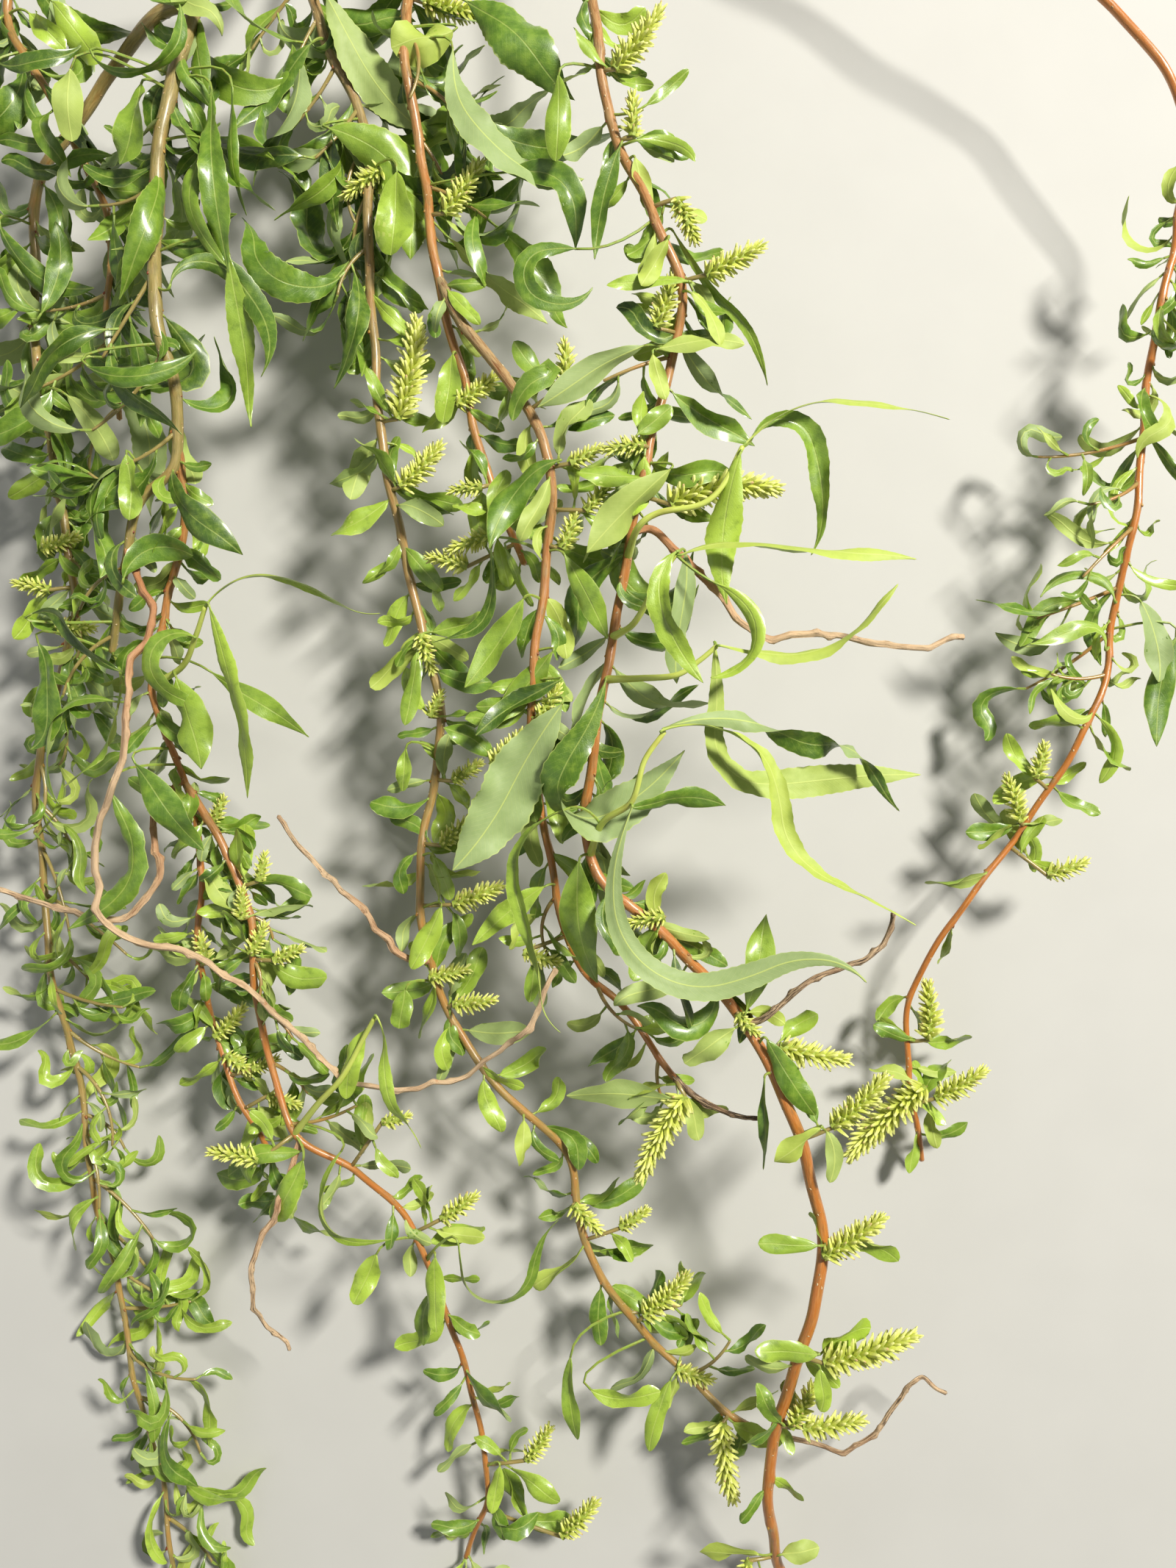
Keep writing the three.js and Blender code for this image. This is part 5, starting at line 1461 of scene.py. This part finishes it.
def plain_mesh(name, carrier, tree, **sizes):
    """The mesh that a node tree makes of a carrier's mesh."""
    holder = bpy.data.objects.new(name + "_carrier", carrier)
    bpy.context.scene.collection.objects.link(holder)
    modifier = holder.modifiers.new(name, "NODES")
    modifier.node_group = tree
    for item in tree.interface.items_tree:
        if item.name in sizes:
            modifier[item.identifier] = sizes[item.name]
    depsgraph = bpy.context.evaluated_depsgraph_get()
    evaluated = holder.evaluated_get(depsgraph)
    mesh = bpy.data.meshes.new_from_object(evaluated, preserve_all_data_layers=True, depsgraph=depsgraph)
    bpy.data.objects.remove(holder)
    mesh.name = name
    return smoothed(mesh, SMALL_SHARP_ANGLE)


def catkin_tree(material):
    """Flowers set in a spiral along each curve, the tilted ones nearest the tip."""
    tree = Growing("Catkin flowers", Length=0.005, Width=0.00145, Spacing=0.00026, Core=0.0015)
    given = tree.given
    curves = tree.add("GeometryNodeMeshToCurve", inputs={"Mesh": given["Geometry"]})
    share = tree.add("GeometryNodeSplineParameter")
    curves = tree.store(curves, "share", share)
    ring = tree.add("GeometryNodeCurvePrimitiveCircle", inputs={"Resolution": 7, "Radius": 1.0})
    wide = given["Core"] * tree.math("MAXIMUM", 1.0 - share**8.0, 0.25)
    inputs = {"Curve": curves, "Profile Curve": ring, "Scale": wide, "Fill Caps": True}
    # The core gets a tip below zero, so it takes the inner colour: painted shade.
    core = tree.store(tree.add("GeometryNodeCurveToMesh", inputs=inputs), "tip", -0.4)
    inputs = {"Curve": curves, "Length": given["Spacing"]}
    spaced = tree.add("GeometryNodeResampleCurve", {"mode": "LENGTH"}, inputs)
    points = tree.add("GeometryNodeCurveToPoints", {"mode": "EVALUATED"}, {"Curve": spaced})
    tangent, normal = points.output(1), points.output(2)
    spin = tree.add("GeometryNodeInputIndex") * GOLDEN_ANGLE
    inputs = {"Vector": normal, "Axis": tangent, "Angle": spin}
    around = tree.add("ShaderNodeVectorRotate", {"rotation_type": "AXIS_ANGLE"}, inputs)
    reach = tree.named("share")
    lean = 0.45 + reach**3.5 * 1.7 + tree.random(-0.22, 0.22, 3)
    forward = tree.add("ShaderNodeVectorMath", {"operation": "SCALE"}, {0: tangent, "Scale": lean})
    turned = tree.upright(tree.vector("ADD", around, forward))
    inputs = {"Vertices": 4, "Side Segments": 4, "Radius Top": 0.5, "Radius Bottom": 0.5, "Depth": 1.0}
    flower = tree.add("GeometryNodeMeshCone", {"fill_type": "TRIANGLE_FAN"}, inputs)
    place = tree.add("GeometryNodeInputPosition")
    height = tree.parts(place)[2]
    bulge = 0.4 + tree.math("SINE", height**0.62 * math.pi) * 0.6
    shaped = tree.vector("MULTIPLY", place, tree.size(bulge, bulge, 1.0))
    flower = tree.add("GeometryNodeSetPosition", inputs={"Geometry": flower, "Position": shaped})
    flower = tree.store(flower, "tip", height)
    fade = (1.0 - reach**5.0 * 0.3) * tree.random(0.82, 1.15, 5) * tree.named("vigour")
    wide = given["Width"] * fade
    flowers = tree.instances(points, flower, turned, tree.size(wide, wide, given["Length"] * fade))
    flowers = tree.store(flowers, "tone", tree.random(0.0, 1.0, 7), "INSTANCE")
    return tree.finish(material, core, flowers)


def lenticel_tree(material):
    """Small raised pores scattered over bark."""
    tree = Growing("Lenticels", Density=30000.0, Length=0.00048, Seed=4)
    given = tree.given
    inputs = {"Mesh": given["Geometry"], "Density": given["Density"], "Seed": given["Seed"]}
    spots = tree.add("GeometryNodeDistributePointsOnFaces", {"distribute_method": "RANDOM"}, inputs)
    pore = tree.add("GeometryNodeMeshIcoSphere", inputs={"Radius": 1.0, "Subdivisions": 1})
    long = given["Length"] * tree.random(0.5, 1.2, 2)
    pores = tree.instances(spots, pore, spots.output(2), tree.size(long, long * 0.6, long * 0.22))
    return tree.finish(material, pores)


def bud_tree(material):
    """A pointed scale on each point, along its aim."""
    tree = Growing("Bud scales", Length=0.0024, Width=0.0011)
    given = tree.given
    scale = tree.add("GeometryNodeMeshUVSphere", inputs={"Segments": 7, "Rings": 5, "Radius": 0.5})
    fade = tree.random(0.7, 1.15, 6)
    wide = given["Width"] * fade
    turned = tree.upright(tree.named("aim", "FLOAT_VECTOR"))
    size = tree.size(wide, wide, given["Length"] * fade)
    return tree.finish(material, tree.instances(given["Geometry"], scale, turned, size))


# Finishes
class Finish(Nodes):
    """One material under construction."""

    def __init__(self, name):
        self.material = bpy.data.materials.new(name)
        self.material.use_nodes = True
        super().__init__(self.material.node_tree)
        self.tree.nodes.clear()

    def attribute(self, name):
        return self.add("ShaderNodeAttribute", {"attribute_name": name}, output=2)

    def pattern(self):
        return self.add("ShaderNodeAttribute", {"attribute_name": "pattern"}, output=1)

    def noise(self, place, scale, detail=3.0, roughness=0.5):
        inputs = {"Vector": place, "Scale": scale, "Detail": detail, "Roughness": roughness}
        return self.add("ShaderNodeTexNoise", inputs=inputs)

    def speckle(self, scale, detail=3.0, roughness=0.5):
        """Noise in the piece's own metres."""
        return self.noise(self.add("ShaderNodeTexCoord", output=3), scale, detail, roughness)

    def drawn(self, across, along, scale, detail=3.0, roughness=0.5):
        """Noise on the pattern, drawn out along a stem as the two shares of its scale say."""
        place = self.vector("MULTIPLY", self.pattern(), (across, across, along))
        return self.noise(place, scale, detail, roughness)

    def ramp(self, value, low, high, first=0.0, last=1.0):
        """A value carried smoothly from one range to another."""
        settings = {"interpolation_type": "SMOOTHSTEP"}
        return self.add("ShaderNodeMapRange", settings, [value, low, high, first, last])

    def mix(self, factor, first, second):
        """The first colour, with the second over it by a factor."""
        opaque = [colour if isinstance(colour, Wire) else (*colour, 1.0) for colour in (first, second)]
        inputs = {0: factor, 6: opaque[0], 7: opaque[1]}
        return self.add("ShaderNodeMix", {"data_type": "RGBA"}, inputs, 2)

    def lay(self, first, second, mask, low, high, share=1.0):
        """The first colour, with a share of the second over it where the mask passes from low to high."""
        return self.mix(self.ramp(mask, low, high, 0.0, share), first, second)

    def close(self, colour, roughness, height=None, depth=0.0001, coat=0.0, coat_roughness=0.03):
        """Ends the tree in a surface with the colour, roughness, relief and clear coat given."""
        inputs = {"Base Color": colour, "Roughness": roughness}
        inputs.update({"Coat Weight": coat, "Coat Roughness": coat_roughness})
        if height is not None:
            relief = {"Strength": 1.0, "Distance": depth, "Height": height}
            inputs["Normal"] = self.add("ShaderNodeBump", inputs=relief)
        surface = self.add("ShaderNodeBsdfPrincipled", inputs=inputs)
        end = self.tree.nodes.new("ShaderNodeOutputMaterial")
        self.tree.links.new(surface.socket, end.inputs["Surface"])
        return self.material


@functools.cache
def bark_finish():
    """Smooth young bark, orange-brown to olive by tone, with pale streaks that are partly weathered bark and
    partly painted highlight, greyer and fissured where it is old.
    """
    colours = bpy.context.scene.willow_bark
    bark = Finish("willow_bark")
    tone, age = bark.attribute("tone"), bark.attribute("age")
    streaks = bark.drawn(1.0, 0.12, 1.6, 5.0, 0.62)
    patches = bark.drawn(0.5, 0.11, 1.0, 4.0, 0.6)
    fine = bark.drawn(1.0, 0.5, 5.0)
    young = bark.lay(colours.shoot, colours.olive, tone + (patches - 0.5) * 0.9, 0.15, 0.85)
    young = bark.lay(young, colours.dark, patches, 0.52, 0.7, 0.45)
    # Pale streaks along the stem: partly weathered bark, partly painted highlight.
    young = bark.lay(young, colours.pale, streaks, 0.4, 0.75, 0.3)
    old = bark.lay(colours.dark, colours.grey, streaks, 0.28, 0.55)
    colour = bark.lay(young, old, age, 0.1, 1.0, 0.85)
    height = streaks * 0.7 + fine * 0.3 + bark.ramp(streaks, 0.4, 0.5) * age * 0.8
    return bark.close(colour, 0.3 + age * 0.35 + (streaks - 0.5) * 0.3, height, 0.00013, 0.5, 0.25)


def cut_finish():
    """Sawn wood with growth rings, a darker pith and faint saw marks."""
    wood = Finish("willow_cut_wood")
    pattern = wood.pattern()
    x, y, _ = wood.parts(pattern)
    radius = (x * x + y * y) ** 0.5
    rings = wood.math("SINE", (radius + wood.noise(pattern, 0.6) * 0.5) * 7.5)
    rays = wood.drawn(2.0, 1.0, 3.0, 4.0)
    colour = wood.lay(paint(226, 205, 160), paint(186, 150, 100), rings, -0.2, 1.0, 0.6)
    colour = wood.lay(colour, paint(120, 85, 50), radius, 1.2, 0.4, 0.8)
    colour = wood.lay(colour, paint(150, 112, 70), rays, 0.45, 0.7, 0.3)
    return wood.close(colour, 0.75, rings * 0.3 + rays, 0.00015)


def dry_finish():
    """Dead twig bark: tan wood between dark, weathered ridges, and browner toward the foot."""
    dry = Finish("willow_dry_twig")
    tone = dry.attribute("tone")
    streaks = dry.drawn(1.0, 0.09, 2.3, 6.0, 0.68)
    patches = dry.drawn(0.4, 0.1, 1.0)
    grain = dry.noise(dry.pattern(), 6.0, 2.0)
    wood = bpy.context.scene.willow_bark.dry
    colour = dry.lay(paint(58, 42, 30), wood, streaks + (tone - 0.5) * 0.3, 0.34, 0.56)
    colour = dry.lay(colour, paint(146, 108, 76), patches, 0.45, 0.7, 0.5)
    colour = dry.lay(colour, paint(196, 172, 136), grain, 0.5, 0.8, 0.35)
    brown = dry.ramp(dry.attribute("age") * tone + (patches - 0.5) * 0.2, 0.35, 0.75, 0.0, 0.75)
    colour = dry.mix(brown, colour, paint(178, 110, 58))
    return dry.close(colour, 0.72 + streaks * 0.2 - brown * 0.3, streaks + grain * 0.25, 0.0005)


def green_twig_finish():
    """This year's twigs, yellow-green and smooth with a little red on them."""
    twig = Finish("willow_green_twig")
    streaks, patches = twig.drawn(1.0, 0.1, 2.0, 4.0), twig.drawn(0.5, 0.12, 1.0, 2.0)
    green = bpy.context.scene.willow_bark.green
    colour = twig.lay(green, paint(214, 222, 130), streaks, 0.35, 0.7, 0.5)
    colour = twig.lay(colour, paint(158, 130, 62), patches, 0.5, 0.75, 0.4)
    return twig.close(colour, 0.34 + streaks * 0.12, streaks)


def leaf_lines(finish):
    """A blade's own lines: the midrib, the slanting side veins, and the margin."""
    x, walked, half = finish.parts(finish.pattern())
    side = abs(x)
    off = side * half
    rib = finish.ramp(off, 0.34, 0.1)
    sweep = finish.math("PINGPONG", (walked - off * 1.15) / 2.3, 0.5)
    vein = finish.ramp(sweep, 0.42, 0.5) * finish.ramp(side, 1.0, 0.55)
    return rib, vein, finish.ramp(side, 0.93, 1.0)


def upper_finish():
    """The upper side of a leaf: glossy, by tone from a painted shade green through the middle green to fresh,
    with a pale midrib.
    """
    colours = bpy.context.scene.willow_leaves
    upper = Finish("willow_leaf_upper")
    tone, age = upper.attribute("tone"), upper.attribute("age")
    rib, vein, edge = leaf_lines(upper)
    mottle, cells = upper.speckle(260.0, 4.0, 0.6), upper.speckle(2200.0, 2.0)
    # Low tones take the shaded green, which is painted shade; high tones take the fresh green of the youngest
    # leaves.
    colour = upper.lay(colours.shaded_green, colours.middle, tone, 0.0, 0.5)
    colour = upper.lay(colour, colours.fresh, tone, 0.45, 1.0)
    # Random mottle, toward the fresh green and toward the shaded green.
    colour = upper.lay(colour, colours.fresh, mottle, 0.42, 0.72, 0.3)
    colour = upper.lay(colour, colours.shaded_green, mottle, 0.5, 0.28, 0.35)
    for mask in (vein * 0.1, edge * 0.55, rib * 0.36):
        colour = upper.mix(mask, colour, colours.rib)
    height = vein * -0.08 + rib * -0.4 + cells * 0.4 + mottle * 0.3
    return upper.close(colour, 0.3 + mottle * 0.22 + age * 0.1, height, 0.00018, 0.5, 0.2)


def under_finish():
    """The underside of a leaf: pale and bloomed, with a raised midrib and faint veins."""
    colours = bpy.context.scene.willow_leaves
    under = Finish("willow_leaf_under")
    rib, vein, edge = leaf_lines(under)
    mottle = under.speckle(300.0, 4.0, 0.6)
    colour = under.lay(colours.under, colours.fresh_under, under.attribute("tone"), 0.35, 0.95)
    colour = under.lay(colour, colours.middle, mottle, 0.4, 0.7, 0.15)
    for mask in (vein * 0.14, edge * 0.5, rib * 0.7):
        colour = under.mix(mask, colour, colours.rib)
    return under.close(colour, 0.5 + mottle * 0.2, vein * 0.1 + rib * 0.3 + mottle * 0.3, 0.00018)


def stalk_finish():
    """Leaf stalks, yellow-green with a red flush."""
    finish = Finish("willow_leaf_stalk")
    blotch = finish.noise(finish.pattern(), 0.8)
    colour = finish.lay(paint(142, 168, 72), paint(150, 110, 50), blotch, 0.45, 0.7, 0.5)
    return finish.close(colour, 0.42 + blotch * 0.1, blotch)


def catkin_finish():
    """Catkin flowers, a darker green of painted shade at their foot and on the core, and pale yellow at their
    tip.
    """
    colours = bpy.context.scene.willow_catkins
    finish = Finish("willow_catkin")
    tip, tone = finish.attribute("tip"), finish.attribute("tone")
    grain = finish.speckle(1500.0)
    # The inner colour at the foot of each flower is painted shade, the shade between the flowers.
    colour = finish.lay(colours.inner, colours.flower, tip, -0.2, 0.5)
    colour = finish.lay(colour, colours.tip, tip, 0.45, 1.0, 0.85)
    # Some flowers, at random, lean toward the same darker green.
    colour = finish.lay(colour, colours.inner, tone, 0.55, 1.0, 0.3)
    colour = finish.lay(colour, paint(196, 150, 112), tone * tip, 0.78, 0.95, 0.7)
    colour = finish.lay(colour, colours.tip, grain, 0.5, 0.75, 0.3)
    return finish.close(colour, 0.55 + grain * 0.2, grain)


def lenticel_finish():
    """Pale corky pores."""
    finish = Finish("willow_lenticel")
    grain = finish.speckle(900.0)
    colour = finish.lay(paint(168, 134, 92), paint(226, 208, 168), grain, 0.35, 0.7)
    return finish.close(colour, 0.8 + grain * 0.1, grain)


def bud_finish():
    """Bud scales, red-brown to yellow and glossy."""
    finish = Finish("willow_bud_scale")
    grain = finish.speckle(420.0)
    colour = finish.lay(paint(124, 62, 34), paint(178, 142, 62), grain, 0.4, 0.65)
    return finish.close(colour, 0.36 + grain * 0.15, grain)


def floor_finish():
    """A pale matt floor with the faintest unevenness."""
    finish = Finish("pale_floor")
    grain = finish.speckle(30.0, 4.0)
    colour = finish.lay(paint(193, 193, 189), paint(196, 196, 192), grain, 0.2, 0.8)
    return finish.close(colour, 0.8 + grain * 0.1)


# Sizes and colours that a user would change
def colour_property(name, description, *screen):
    return FloatVectorProperty(
        name=name, description=description, subtype="COLOR", size=3, min=0.0, max=1.0, default=paint(*screen)
    )


def length_property(name, description, default, low, high):
    return FloatProperty(
        name=name, description=description, default=default, min=low, max=high, subtype="DISTANCE",
        unit="LENGTH",
    )


class WillowBark(bpy.types.PropertyGroup):
    relief: FloatProperty(
        name="Relief", description="Depth of the bark's ridges as a share of the stem's radius",
        default=0.06, min=0.0, max=0.3, subtype="FACTOR",
    )
    shoot: colour_property("Shoot", "Young bark in full sun", 186, 112, 44)
    olive: colour_property("Olive", "Young bark in shade", 146, 134, 74)
    # Pale streaks: partly weathered bark, partly painted highlight.
    pale: colour_property("Pale", "Streaks of bark that has weathered", 212, 172, 112)
    dark: colour_property("Dark", "Patches and bud scars", 84, 56, 36)
    grey: colour_property("Grey", "Old bark of the bough", 160, 146, 104)
    dry: colour_property("Dry", "Dead twigs", 218, 188, 150)
    green: colour_property("Green", "This year's twigs", 194, 208, 92)
    lenticels: FloatProperty(
        name="Lenticels", description="Pores for each square metre of bark", default=30000.0, min=0.0,
    )
    bud: length_property("Bud", "Length of a bud scale", 0.0024, 0.0005, 0.01)


class WillowLeaves(bpy.types.PropertyGroup):
    thickness: length_property("Thickness", "Thickness of a blade at its middle", 0.00035, 0.0001, 0.002)
    fold: FloatProperty(
        name="Fold", description="How far the halves of a blade fold up along its midrib",
        default=math.radians(17), min=0.0, max=math.radians(60), subtype="ANGLE", unit="ROTATION",
    )
    # Painted shade: the upper side of leaves of low tone.
    shaded_green: colour_property("Deep", "Upper side in shade", 50, 78, 18)
    middle: colour_property("Middle", "Upper side of most leaves", 92, 128, 32)
    fresh: colour_property("Fresh", "Upper side of the youngest leaves", 164, 192, 66)
    rib: colour_property("Rib", "Midribs, veins and margins", 188, 202, 108)
    under: colour_property("Underside", "Bloomed underside", 146, 166, 108)
    fresh_under: colour_property("Fresh underside", "Underside of the youngest leaves", 172, 190, 82)


class WillowCatkins(bpy.types.PropertyGroup):
    length: length_property("Flower length", "Length of one flower", 0.005, 0.001, 0.01)
    spacing: length_property("Spacing", "Distance from flower to flower", 0.00026, 0.0001, 0.003)
    flower: colour_property("Flower", "The middle of each flower", 202, 210, 92)
    tip: colour_property("Tip", "The tip of each flower", 234, 236, 150)
    # The inner colour is painted shade, at the foot of the flowers and on the core.
    inner: colour_property("Inner", "The foot of the flowers and the core", 144, 162, 60)


class WillowStage(bpy.types.PropertyGroup):
    floor: length_property("Floor", "Side of the square floor", 3.0, 1.0, 10.0)
    key: FloatProperty(name="Key light", description="Power of the main light", default=78.0, unit="POWER")
    fill: FloatProperty(name="Fill light", description="Power of the soft light", default=2.5, unit="POWER")
    sky: FloatProperty(name="Sky", description="Strength of the light from all round", default=0.19)


# Operators
class WILLOW_OT_boughs(bpy.types.Operator):
    """Build the bare boughs, from the sawn end to where the leaves begin"""

    bl_idname = "willow.boughs"
    bl_label = "Boughs"

    def execute(self, context):
        growth()
        skin = Skin()
        bare = stretches("bark", False)
        for _, stem, first, last in bare:
            stem_skin(skin, stem, first, last, LIMB_SIDES, context.scene.willow_bark.relief)
        mesh = skin.mesh("bark_boughs", [bark_finish(), cut_finish()])
        close_rim(mesh)
        show("bark_boughs", mesh, "bark", *[node for node, *_ in bare])
        return {"FINISHED"}


class WILLOW_OT_shoots(bpy.types.Operator):
    """Build the leafy shoots' bark, their side twigs and the catkins' stalks"""

    bl_idname = "willow.shoots"
    bl_label = "Shoots"

    def execute(self, context):
        grown = growth()
        skin = Skin()
        relief = context.scene.willow_bark.relief * SHOOT_RELIEF
        for _, stem, first, last in stretches("bark", True):
            stem_skin(skin, stem, first, last, STEM_SIDES, relief)
        for path, tone in grown.twigs:
            tube(skin, path, np.linspace(*TWIG_RADIUS, len(path)), TWIG_SIDES, 0.55 + tone / 2)
        for root, path in grown.catkins:
            points = np.vstack([root, root * 0.5 + path[0] * 0.5 + (0, 0, 0.4), path[0], path[1]])
            tube(skin, points, np.full(4, STALK_RADIUS), TWIG_SIDES, 0.9)
        show("bark_shoots", skin.mesh("bark_shoots", [bark_finish()]), "bark")
        return {"FINISHED"}


class WILLOW_OT_green_twigs(bpy.types.Operator):
    """Build this year's green twigs"""

    bl_idname = "willow.green_twigs"
    bl_label = "Green twigs"

    def execute(self, context):
        skin = Skin()
        for _, stem, first, last in stretches("young", True):
            stem_skin(skin, stem, first, last, STEM_SIDES, YOUNG_RELIEF)
        show("green_twigs", skin.mesh("green_twigs", [green_twig_finish()]), "young_leaf")
        return {"FINISHED"}


class WILLOW_OT_dry_twigs(bpy.types.Operator):
    """Build the dead twigs"""

    bl_idname = "willow.dry_twigs"
    bl_label = "Dry twigs"

    def execute(self, context):
        skin = Skin()
        relief = context.scene.willow_bark.relief * DRY_RELIEF
        for stem in stems().values():
            if stem.look == "dry":
                stem_skin(skin, stem, 0, len(stem.points) - 1, DRY_SIDES, relief)
        nodes = [node for node, *_ in stretches("dry", False)]
        show("dry_twigs", skin.mesh("dry_twigs", [dry_finish()]), "dry_wood", *nodes)
        return {"FINISHED"}


class WILLOW_OT_leaves(bpy.types.Operator):
    """Build the leaves, in one piece for each side of the branch and one for the youngest"""

    bl_idname = "willow.leaves"
    bl_label = "Leaves"

    def execute(self, context):
        groups = {
            "leaves_left": ("left", "left_arch"),
            "leaves_far_left": ("left_fork",),
            "leaves_middle": ("middle", "centre", "inner"),
            "leaves_low": ("lower_left", "low"),
            "leaves_right": ("right",),
            "leaves_far_right": ("far_right",),
            "leaves_young": tuple(SPRAYS),
        }
        kinds = [upper_finish(), under_finish(), stalk_finish()]
        for name, carriers in groups.items():
            skin = Skin()
            nodes = []
            for carrier in carriers:
                for node, _, _, dress in stems()[carrier].stretches:
                    if dress or node in LEAVES:
                        nodes.append(node)
                    for facts in growth().leaves.get(node, []):
                        leaf(skin, *facts)
            slot = "young_leaf" if name == "leaves_young" else "leaf"
            show(name, skin.mesh(name, kinds), slot, *nodes)
        return {"FINISHED"}


class WILLOW_OT_catkins(bpy.types.Operator):
    """Build the catkins from the paths of their cores"""

    bl_idname = "willow.catkins"
    bl_label = "Catkins"

    def execute(self, context):
        sizes = context.scene.willow_catkins
        paths = [path for _, path in growth().catkins]
        edges = []
        first = 0
        for path in paths:
            edges += [(first + i, first + i + 1) for i in range(len(path) - 1)]
            first += len(path)
        cores = bpy.data.meshes.new("catkin_cores")
        cores.from_pydata(((np.concatenate(paths) + SHIFT) * MM).tolist(), edges, [])
        lengths = [np.linalg.norm(np.diff(path, axis=0), axis=1).sum() for path in paths]
        vigour = np.repeat((np.array(lengths) / VIGOROUS_LENGTH) ** 0.45, [len(path) for path in paths])
        write(cores, "vigour", vigour)
        tree = catkin_tree(catkin_finish())
        mesh = plain_mesh("catkins", cores, tree, Length=sizes.length, Spacing=sizes.spacing)
        standing = [node for node in frame["nodes"] if node.startswith("catkin_")]
        show("catkins", mesh, "catkin", *standing)
        return {"FINISHED"}


class WILLOW_OT_lenticels(bpy.types.Operator):
    """Scatter pores over the bark"""

    bl_idname = "willow.lenticels"
    bl_label = "Lenticels"

    def execute(self, context):
        tree = lenticel_tree(lenticel_finish())
        density = context.scene.willow_bark.lenticels
        for carrier in ("bark_boughs", "bark_shoots"):
            name = carrier.replace("bark", "lenticels")
            mesh = plain_mesh(name, bpy.data.objects[carrier].data.copy(), tree, Density=density)
            show(name, mesh, "bark")
        return {"FINISHED"}


class WILLOW_OT_buds(bpy.types.Operator):
    """Set a scale at the foot of every bud"""

    bl_idname = "willow.buds"
    bl_label = "Bud scales"

    def execute(self, context):
        places, aims = np.array(growth().buds).swapaxes(0, 1)
        points = bpy.data.meshes.new("bud_places")
        points.from_pydata(((places + SHIFT) * MM).tolist(), [], [])
        write(points, "aim", aims)
        tree = bud_tree(bud_finish())
        mesh = plain_mesh("bud_scales", points, tree, Length=context.scene.willow_bark.bud)
        show("bud_scales", mesh, "bark")
        return {"FINISHED"}


def lamp(name, power, size, place, colour):
    """A square light at a place, turned to the branch."""
    light = bpy.data.lights.new(name, "AREA")
    light.energy, light.size, light.color = power, size, colour
    holder = bpy.data.objects.new(name, light)
    holder.location = place
    holder.rotation_euler = Vector(place).to_track_quat("Z", "Y").to_euler()
    bpy.context.scene.collection.objects.link(holder)


class WILLOW_OT_stage(bpy.types.Operator):
    """Set up the floor, the lights and the camera straight above the branch"""

    bl_idname = "willow.stage"
    bl_label = "Stage"

    def execute(self, context):
        scene = context.scene
        stage = scene.willow_stage
        half = stage.floor / 2
        mesh = bpy.data.meshes.new("floor")
        corners = [(-half, -half, 0), (half, -half, 0), (half, half, 0), (-half, half, 0)]
        mesh.from_pydata(corners, [], [(0, 1, 2, 3)])
        mesh.materials.append(floor_finish())
        floor = bpy.data.objects.new("floor", mesh)
        scene.collection.objects.link(floor)
        lamp("key_light", stage.key, 0.35, (1.05, 0.95, 1.75), (1.0, 0.96, 0.88))
        lamp("fill_light", stage.fill, 1.4, (-1.0, -0.3, 1.1), (0.96, 0.98, 1.0))
        world = bpy.data.worlds.new("soft_sky")
        world.use_nodes = True
        sky = world.node_tree.nodes["Background"]
        sky.inputs["Color"].default_value = (1.0, 1.0, 0.98, 1.0)
        sky.inputs["Strength"].default_value = stage.sky
        scene.world = world
        scene.view_settings.view_transform = "Standard"
        eye = bpy.data.cameras.new("camera")
        eye.sensor_width = SENSOR
        eye.lens = SENSOR * VIEW_HEIGHT / VIEW_TALL
        eye.clip_start = 0.01
        camera = bpy.data.objects.new("camera", eye)
        camera.location = (SHIFT + (0, 0, VIEW_HEIGHT + MIDDLE_HEIGHT)) * MM
        scene.collection.objects.link(camera)
        scene.camera = camera
        return {"FINISHED"}


OPERATORS = (
    WILLOW_OT_boughs,
    WILLOW_OT_shoots,
    WILLOW_OT_green_twigs,
    WILLOW_OT_dry_twigs,
    WILLOW_OT_leaves,
    WILLOW_OT_catkins,
    WILLOW_OT_lenticels,
    WILLOW_OT_buds,
    WILLOW_OT_stage,
)
SETTINGS = {
    "willow_bark": WillowBark,
    "willow_leaves": WillowLeaves,
    "willow_catkins": WillowCatkins,
    "willow_stage": WillowStage,
}


class WILLOW_PT_panel(bpy.types.Panel):
    """The branch's pieces, with the sizes and colours that they use"""

    bl_idname = "WILLOW_PT_panel"
    bl_label = "Willow branch"
    bl_space_type = "VIEW_3D"
    bl_region_type = "UI"
    bl_category = "Willow"

    def draw(self, context):
        for name, group in SETTINGS.items():
            box = self.layout.box()
            for setting in group.__annotations__:
                box.prop(getattr(context.scene, name), setting)
        for operator in OPERATORS:
            self.layout.operator(operator.bl_idname)


def register():
    for name, group in SETTINGS.items():
        bpy.utils.register_class(group)
        setattr(bpy.types.Scene, name, PointerProperty(type=group))
    for kind in (*OPERATORS, WILLOW_PT_panel):
        bpy.utils.register_class(kind)


def unregister():
    for kind in (WILLOW_PT_panel, *reversed(OPERATORS)):
        bpy.utils.unregister_class(kind)
    for name, group in SETTINGS.items():
        delattr(bpy.types.Scene, name)
        bpy.utils.unregister_class(group)


def main():
    register()
    for operator in OPERATORS:
        name = operator.bl_idname.split(".")[1]
        if getattr(bpy.ops.willow, name)() != {"FINISHED"}:
            raise RuntimeError(f"{operator.bl_label} wasn't built")


if __name__ == "__main__":
    main()
